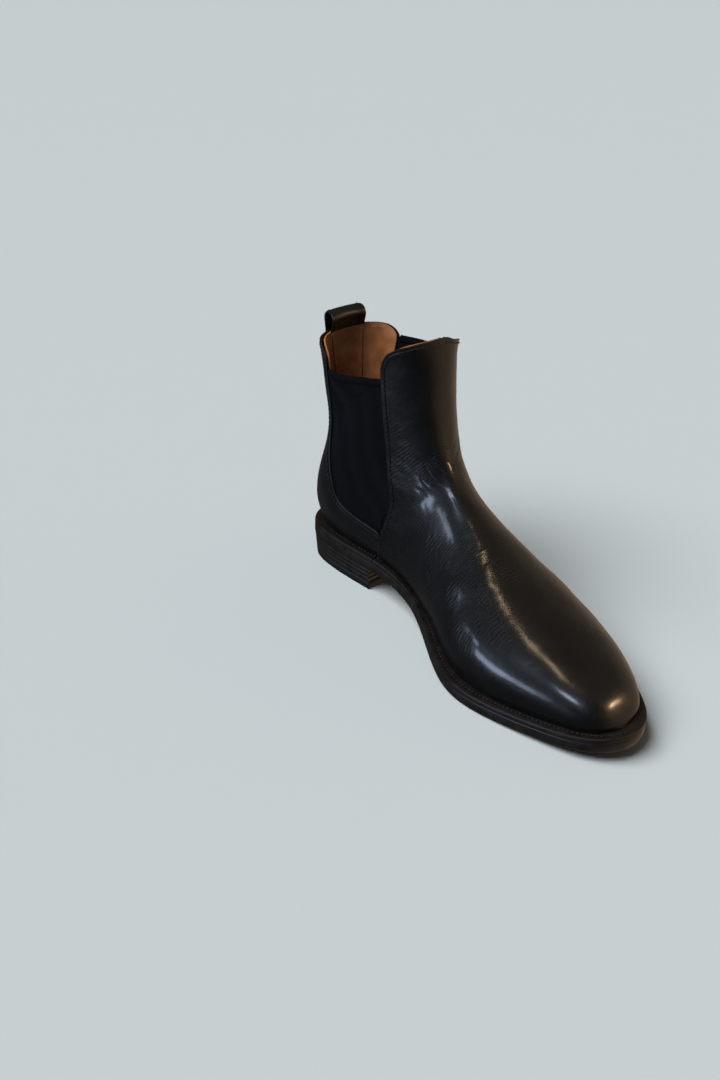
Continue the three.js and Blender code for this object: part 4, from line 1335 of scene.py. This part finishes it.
@dataclass
class PullLoop:
    """The strap on the back topline: tails sewn to both faces of the back, and a free loop between.

    A tail is the t of its end and its depth under the last; the back there is round with back_radius.
    """

    finishes: Finishes
    centre: float = 1.0
    width: float = 27.0
    thickness: float = 1.6
    top: float = 179.5
    back: float = -1.0
    front: float = 10.4
    outer_tail: tuple[float, float] = (17.1, -1.9)
    inner_tail: tuple[float, float] = (17.4, 2.15)
    leaves_at: float = 18.1
    back_radius: float = 31.0
    flex_from: float = 165.2
    flex_to: float = 170.5

    def path(self) -> tuple[Array, Array, Array]:
        """The strap's middle line, in the plane of symmetry, from the outer tail's end to the inner's.

        Up along the back face, round the crown on a half circle, and down between the calf and the lining.

        Returns:
            s, z, and the share of the back's roundness that the strap has at each point.
        """
        rising = np.linspace(self.outer_tail[0], self.leaves_at, 40)
        outside = LAST.wall(rising, np.zeros(40), np.full(40, self.outer_tail[1]))
        falling = np.linspace(self.leaves_at, self.inner_tail[0], 36)
        inside = LAST.wall(falling, np.zeros(36), np.full(36, self.inner_tail[1]))
        radius = (self.front - self.back - self.thickness) / 2.0
        crown_z = self.top - self.thickness / 2.0 - radius
        angle = np.linspace(np.pi, 0.0, 30)
        crown = np.stack([(self.front + self.back) / 2.0 + radius * np.cos(angle),
                          crown_z + radius * np.sin(angle)], 1)
        start = np.array([-outside[-1, 1], outside[-1, 2]])
        end = np.array([-inside[0, 1], inside[0, 2]])
        share = np.linspace(0.0, 1.0, 16)[1:-1, None]
        up = start + (crown[0] - start) * share
        down = crown[-1] + (end - crown[-1]) * share
        line = np.vstack([np.stack([-outside[:, 1], outside[:, 2]], 1), up, crown, down,
                          np.stack([-inside[:, 1], inside[:, 2]], 1)])
        kernel = np.exp(-0.5 * (np.arange(-6, 7) / 2.5) ** 2)
        kernel /= kernel.sum()
        padded = np.vstack([2 * line[0] - line[6:0:-1], line, 2 * line[-1] - line[-2:-8:-1]])
        line = np.stack([np.convolve(padded[:, k], kernel, "valid") for k in range(2)], 1)
        roundness = 1.0 - 0.6 * smooth(line[:, 1], 163.0, self.top)
        return line[:, 0], line[:, 1], roundness

    def faces(self, shares: Array) -> tuple[Array, Array]:
        """Outer and inner face of the strap at shares of its width, from -1 to 1."""
        s, z, roundness = self.path()
        along = unit(np.stack([np.gradient(s), np.gradient(z)], 1))
        away = np.stack([-along[:, 1], along[:, 0]], 1)
        x = shares[None] * self.width / 2.0 + self.centre
        bow = roundness[:, None] * (x - self.centre) ** 2 / (2.0 * self.back_radius)
        edge = 1.0 - 0.28 * np.abs(shares[None]) ** 10
        def face(sign: float) -> Array:
            """One face: the middle line moved by half the strap's thickness, which thins at the edges."""
            half = sign * self.thickness / 2.0 * edge
            forward = s[:, None] + bow + away[:, :1] * half
            return np.stack([x + 0.0 * bow, -forward, z[:, None] + away[:, 1:] * half], axis=-1)
        return face(1.0), face(-1.0)

    def build(self) -> None:
        """The strap, with a stitch row along each edge and one across the outer tail."""
        outer, inner = self.faces(close_set(34, 0.012) * 2.0 - 1.0)
        made = make_object("pull_strap", leather_shell(outer, inner), [self.finishes.strap] * 2)
        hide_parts("pull_loop", "pull_loop_outer_tail", "pull_loop_inner_tail")
        self.bend(made)
        seam = Seam(pitch=2.2, length=1.6, radius=0.27)
        rows = []
        for share in (-0.86, 0.86):
            front, back = self.faces(np.array([share - 0.01, share, share + 0.01]))
            path, under = front[:, 1], back[:, 1]
            rows.append(seam.row(path, unit(path - under)))
        front, back = self.faces(np.linspace(-0.84, 0.84, 40))
        rows.append(seam.row(front[8], unit(front[8] - back[8])))
        self.bend(sew("pull_strap_stitches", rows, self.finishes.thread))

    def bend(self, piece: bpy.types.Object) -> None:
        """Bakes a piece's transform into its mesh."""
        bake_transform(piece)


# -------------------------------------------------------------------------------------- the bottom


def edge_plan(stations: Array, profile: Array) -> Array:
    """Places (x, s) of a profile's corners at stations of the sole's edge."""
    return SOLE.inset(*np.broadcast_arrays(stations[:, None], profile[None, :, 0]))


def edge_strip(stations: Array, profile: Array) -> Array:
    """Rings of a strip along the sole's edge; each corner has an inset and a height over the underside."""
    rings = edge_plan(stations, profile)
    z = SOLE.bottom(rings[..., 1]) + profile[None, :, 1]
    return np.stack([rings[..., 0], -rings[..., 1], z], axis=-1)


@dataclass
class Bottom:
    """Welt, rand, outsole, heel lifts and top piece."""

    finishes: Finishes
    seat: float = 80.0
    groove: float = 4.3
    seam: Seam = Seam(pitch=2.9, length=2.3, radius=0.55, sink=0.15, slant=0.25)
    taper: float = 1.8
    lifts: int = 3
    top_piece: float = 6.0
    hollow: float = 2.6

    def build(self) -> None:
        """All pieces under the upper."""
        seat = SOLE.station(self.seat)
        self.rim("welt_strip", "welt", np.linspace(seat, 2.0 * SOLE.toe - seat, 520))
        self.rim("rand_strip", "heel_rand", np.linspace(seat - 0.02, -seat + 0.02, 200))
        self.outsole()
        self.heel()

    def rim_profile(self) -> Array:
        """The welt's section: rounded outer corners, a stitch groove, and a foot under the upper."""
        top, low = SOLE.outsole + SOLE.welt, SOLE.outsole + 0.12
        outer = [(2.0, low), (0.25, low), (0.08, low + 0.15), (0.02, low + 0.6), (0.04, top - 0.8),
                 (0.2, top - 0.3), (0.6, top - 0.06), (1.1, top - 0.01)]
        groove = [(self.groove - 1.0, top), (self.groove - 0.6, top - 0.12), (self.groove, top - 0.5),
                  (self.groove + 0.6, top - 0.12), (self.groove + 1.0, top)]
        foot = [(6.5, top + 0.02), (9.0, top - 0.05), (10.4, top - 0.1), (10.4, low)]
        return np.array([*outer, (2.2, top), *groove, *foot])

    def rim(self, name: str, node: str, stations: Array) -> None:
        """A strip round the sole's edge, with its row of stitches sunk in the groove."""
        made = make_object(name, swept(edge_strip(stations, self.rim_profile())), [self.finishes.welt])
        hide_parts(node)
        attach(made, "boot")
        line = edge_strip(stations, np.array([[self.groove, SOLE.outsole + SOLE.welt - 0.35]]))[:, 0]
        normals = np.tile([0.0, 0.0, 1.0], (len(line), 1))
        thread = make_object(f"{name}_stitches", self.seam.row(line, normals), [self.finishes.thread])
        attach(thread, "boot")

    def plate(self, end: float, profile: Array, across: int, breast: float, level: bool,
              rows: int) -> Surface:
        """A plate between the two edges of the sole, from the heel's back to a station.

        Each rung is one closed section: the outside's edge profile, the underside, the inside's edge profile
        and the top. Where the plate ends in a breast, its last rungs hollow out by a parabola.

        Args:
            end: The last station.
            profile: Insets and heights down the edge, from the top to the underside.
            across: Corners across the underside and across the top.
            breast: Depth of the hollow at the end.
            level: True if heights count from the floor.
            rows: Rungs.

        Returns:
            The closed surface; its underside is of kind 1.
        """
        step = np.linspace(0.0, 1.0, rows)
        places = end * (0.5 - 0.5 * np.cos(np.pi * step))
        if breast > 0.0:
            places = end * np.sin(np.pi / 2.0 * step) * step**0.6
        left, right = edge_plan(places, profile), edge_plan(2.0 * SOLE.toe - places, profile)
        share = np.linspace(0.0, 1.0, across)[None, 1:-1, None]
        under = right[:, -1:] + (left[:, -1:] - right[:, -1:]) * share
        over = left[:, :1] + (right[:, :1] - left[:, :1]) * share
        plan = np.concatenate([right, under, left[:, ::-1], over], axis=1)
        heights = np.concatenate([profile[:, 1], np.full(across - 2, profile[-1, 1]), profile[::-1, 1],
                                  np.full(across - 2, profile[0, 1])])[None]
        x, s = plan[..., 0], plan[..., 1]
        middle = (x.max(axis=1, keepdims=True) + x.min(axis=1, keepdims=True)) / 2.0
        half = np.maximum(np.ptp(x, axis=1, keepdims=True) / 2.0, 1e-6)
        towards_end = smooth(places[:, None], 0.55 * end, end)
        s = s - breast * (1.0 - ((x - middle) / half) ** 2) * towards_end
        z = heights + (0.0 * s if level else SOLE.bottom(s))
        rings = np.stack([x, -s, z], axis=-1)
        surface = swept(rings, capped=False)
        corners = rings.shape[1]
        count = len(profile)
        kinds = np.zeros((rows - 1, corners), int)
        kinds[:, count - 1:count + across - 2] = 1
        surface.kinds = kinds.ravel()
        if breast > 0.0:
            surface = surface.joined(self.breast_face(rings[-1], count, across))
        return surface

    @staticmethod
    def breast_face(ring: Array, count: int, across: int) -> Surface:
        """The plate's cut end: columns from the underside to the top, and a fan at each corner."""
        under = ring[count - 1:count + across - 1]
        over = np.vstack([ring[:1], ring[::-1][:across - 1]])
        points = np.stack([under, over], axis=0)
        middle = Surface(points.reshape(-1, 3), grid_faces(2, across), np.zeros((2 * across, 2)),
                         np.zeros(across - 1, int))
        right, left = ring[:count], ring[count + across - 2:2 * count + across - 2]
        return joined([middle, end_cap(right), end_cap(left)])

    def outsole(self) -> None:
        """The sole plate, its edge slightly rounded, with a channel line near the edge of its underside."""
        top = SOLE.outsole
        edge = [(3.0, top), (0.25, top), (0.08, top - 0.15), (0.0, top - 0.6), (-0.05, 4.0), (0.0, 1.6),
                (0.35, 0.75), (0.9, 0.35), (1.6, 0.3)]
        channel = [(4.0, 0.3), (4.25, 0.55), (4.6, 0.55), (4.85, 0.3)]
        profile = np.array([*edge, *channel, (7.0, 0.3)])
        surface = self.plate(SOLE.toe, profile, 18, 0.0, False, 260)
        made = make_object("sole_plate", surface, [self.finishes.edge, self.finishes.sole])
        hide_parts("outsole")
        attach(made, "boot")

    def heel(self) -> None:
        """The lifts and the top piece, each a plate with eased edges and a hollow breast."""
        breast = SOLE.station(SOLE.heel_length)
        pitch = (SOLE.heel_height - self.top_piece) / self.lifts
        layers = [("heel_rubber", "top_piece", 0.0, self.top_piece + 0.16, self.finishes.rubber,
                   "top_piece")]
        for k in range(self.lifts):
            low = self.top_piece + 0.22 + k * pitch
            layers.append((f"lift_{self.lifts - k}", f"heel_lift_{self.lifts - k}", low, low + pitch - 0.06,
                           self.finishes.edge, "sole_leather"))
        for name, node, low, high, material, slot in layers:
            base = 0.35 + self.taper * (1.0 - low / SOLE.heel_height)
            rise = 0.35 + self.taper * (1.0 - high / SOLE.heel_height)
            profile = np.array([(rise + 2.0, high), (rise + 0.12, high), (rise, high - 0.1),
                                ((rise + base) / 2.0 - 0.02, (low + high) / 2.0), (base, low + 0.1),
                                (base + 0.12, low), (base + 2.0, low)])
            surface = self.plate(breast, profile, 14, self.hollow, True, 90)
            made = make_object(name, surface, [material, material])
            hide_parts(node)
            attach(made, "boot")


class HiddenPieces:
    """The model's own solids that stay in view or inside: each gets its finish."""

    def __init__(self, finishes: Finishes) -> None:
        """Which finish each kept node has."""
        self.wear = {
            "sock_lining": finishes.lining, "insole": finishes.board, "insole_rib": finishes.board,
            "toe_puff": finishes.stiffener, "heel_counter": finishes.stiffener, "shank": finishes.steel,
            "cork_filler_forefoot": finishes.cork, "cork_filler_waist": finishes.cork,
            **{f"heel_nail_{k}": finishes.brass for k in range(1, 6)},
        }

    def build(self) -> None:
        """Puts the finishes into the nodes' material slots."""
        for node, material in self.wear.items():
            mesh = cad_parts[node].data
            mesh.materials.clear()
            mesh.materials.append(material)


# -------------------------------------------------------------------------------------- the studio


@dataclass(frozen=True)
class Softbox:
    """An area light: the way to it from the boot, its distance and size in metres, radiance and colour."""

    name: str
    way: tuple[float, float, float]
    distance: float
    size: tuple[float, float]
    radiance: float
    tint: str

    def build(self) -> None:
        """Adds the light, seen only in gloss; its power is pi times its area times its radiance."""
        data = bpy.data.lights.new(self.name, "AREA")
        data.shape = "RECTANGLE"
        data.size, data.size_y = self.size
        data.energy = math.pi * self.size[0] * self.size[1] * self.radiance
        data.color = colour(self.tint)[:3]
        lamp = bpy.data.objects.new(self.name, data)
        place = Vector(self.way).normalized() * self.distance
        lamp.location = place + Vector((0.0, 0.0, 0.08))
        lamp.rotation_euler = (-place).to_track_quat("-Z", "Y").to_euler()
        lamp.visible_diffuse = False
        bpy.context.scene.collection.objects.link(lamp)


@dataclass
class Studio:
    """Floor, soft light and camera."""

    camera_place: tuple[float, float, float] = (-517.8, -676.0, 516.2)
    heading: tuple[float, float, float] = (0.5344, 0.6641, -0.5228)
    level: tuple[float, float, float] = (0.7791, -0.6269, 0.0)
    roll: float = 0.03794
    lens: float = 44.63
    floor_tint: str = "#c6cfd2"
    floor_reach: float = 6.0
    sun_energy: float = 3.5
    sun_spread: float = 45.0
    sun_way: tuple[float, float, float] = (-0.62, 0.3, 1.0)
    sky_tint: str = "#dfe6ea"
    sky_strength: float = 0.06
    # Each glow's way, the cosine at its rim, its strength and its tint.
    glows: tuple[tuple[tuple[float, float, float], float, float, str], ...] = (
        ((0.75, -0.3, -0.58), 0.15, 0.6, "#dcbd9c"),
        ((0.6, 0.0, 0.8), 0.6, 0.16, "#d6b594"),
        ((-0.95, 0.2, -0.2), 0.5, 0.03, "#9fb4d0"),
    )

    def build(self) -> None:
        """Camera, floor, sky and lights."""
        self.camera()
        self.floor()
        self.sky()
        self.daylight()
        for light in self.lights():
            light.build()

    def camera(self) -> None:
        """A level camera turned by a small roll, looking down at the boot."""
        forward = unit(np.array(self.heading))
        level = unit(np.array(self.level))
        above = np.cross(level, forward)
        right = math.cos(self.roll) * level + math.sin(self.roll) * above
        up = math.cos(self.roll) * above - math.sin(self.roll) * level
        data = bpy.data.cameras.new("camera")
        data.lens, data.sensor_width = self.lens, 36.0
        data.clip_start, data.clip_end = 0.05, 20.0
        camera = bpy.data.objects.new("camera", data)
        turn = Matrix((tuple(right), tuple(up), tuple(-forward))).transposed()
        place = Vector(to_frame(np.array(self.camera_place)))
        camera.matrix_world = Matrix.Translation(place) @ turn.to_4x4()
        bpy.context.scene.collection.objects.link(camera)
        bpy.context.scene.camera = camera

    def floor(self) -> None:
        """A wide pale floor, left out of the leather's reflections so that the leather stays deep."""
        mesh = bpy.data.meshes.new("floor")
        far = self.floor_reach
        mesh.from_pydata([(-far, -far, 0), (far, -far, 0), (far, far, 0), (-far, far, 0)], [], [(0, 1, 2, 3)])
        floor = bpy.data.objects.new("floor", mesh)
        bpy.context.scene.collection.objects.link(floor)
        paint = Finish("painted_floor", self.floor_tint, self.floor_tint, 0.9, specular=0.1)
        mesh.materials.append(paint.build())
        floor.visible_glossy = False
        floor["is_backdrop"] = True

    def sky(self) -> None:
        """A dim even light, with glows for the leather: brown on the right, and faint blue on the left."""
        world = bpy.data.worlds.new("studio")
        world.use_nodes = True
        tree = world.node_tree
        total = tuple(self.sky_strength * c for c in colour(self.sky_tint)[:3])
        for way, start, strength, tint in self.glows:
            patch = self.glow(tree, way, start, strength, tint)
            total = add_node(tree, "ShaderNodeVectorMath", i0=total, i1=patch).outputs[0]
        tree.links.new(total, tree.nodes["Background"].inputs["Color"])
        bpy.context.scene.world = world
        bpy.context.scene.view_settings.view_transform = "Standard"

    @staticmethod
    def glow(tree: bpy.types.NodeTree, way: tuple[float, float, float], start: float, strength: float,
             tint: str) -> bpy.types.NodeSocket:
        """A round soft patch of the sky: a smooth step of the cosine to its middle."""
        place = add_node(tree, "ShaderNodeTexCoord").outputs["Generated"]
        middle = tuple(Vector(way).normalized())
        facing = add_node(tree, "ShaderNodeVectorMath", {"operation": "DOT_PRODUCT"}, i0=place, i1=middle)
        amount = add_node(tree, "ShaderNodeMapRange", {"interpolation_type": "SMOOTHSTEP"},
                          Value=facing.outputs["Value"], From_Min=start, From_Max=0.95, To_Max=strength)
        return add_node(tree, "ShaderNodeVectorMath", {"operation": "SCALE"}, i0=colour(tint)[:3],
                        Scale=amount.outputs["Result"]).outputs[0]

    def daylight(self) -> None:
        """Broad light from above and the left, for the floor and the lining, with no glint of its own."""
        data = bpy.data.lights.new("daylight", "SUN")
        data.energy, data.angle = self.sun_energy, math.radians(self.sun_spread)
        lamp = bpy.data.objects.new("daylight", data)
        lamp.rotation_euler = (-Vector(self.sun_way)).to_track_quat("-Z", "Y").to_euler()
        lamp.visible_glossy = False
        bpy.context.scene.collection.objects.link(lamp)

    @staticmethod
    def lights() -> list[Softbox]:
        """Cool panes to the camera's left, and small warm lamps overhead and in front."""
        return [
            Softbox("low_pane", (-0.97, 0.1, 0.12), 1.5, (0.6, 0.4), 11.0, "#cfe1ff"),
            Softbox("middle_pane", (-0.8, 0.3, 0.44), 1.5, (0.28, 0.28), 10.0, "#cfe1ff"),
            Softbox("high_pane", (-0.48, -0.3, 0.8), 1.5, (0.26, 0.24), 22.0, "#d6e6ff"),
            Softbox("ceiling_lamp", (0.0, -0.06, 1.0), 1.7, (0.14, 0.14), 24.0, "#ffdcb4"),
            Softbox("front_lamp", (0.55, -0.68, 0.4), 1.6, (0.14, 0.14), 80.0, "#ffd3a1"),
        ]


def main() -> None:
    """Builds every sub-assembly in order and reports each piece."""
    logging.basicConfig(level=logging.INFO, format="%(message)s")
    finishes = Finishes()
    Studio().build()
    Upper(finishes).build()
    Gores(finishes).build()
    Lining(finishes).build()
    PullLoop(finishes).build()
    Bottom(finishes).build()
    HiddenPieces(finishes).build()
    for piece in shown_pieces():
        log.info("%s: %d faces", piece.name, len(piece.data.polygons))


if __name__ == "__main__":
    main()
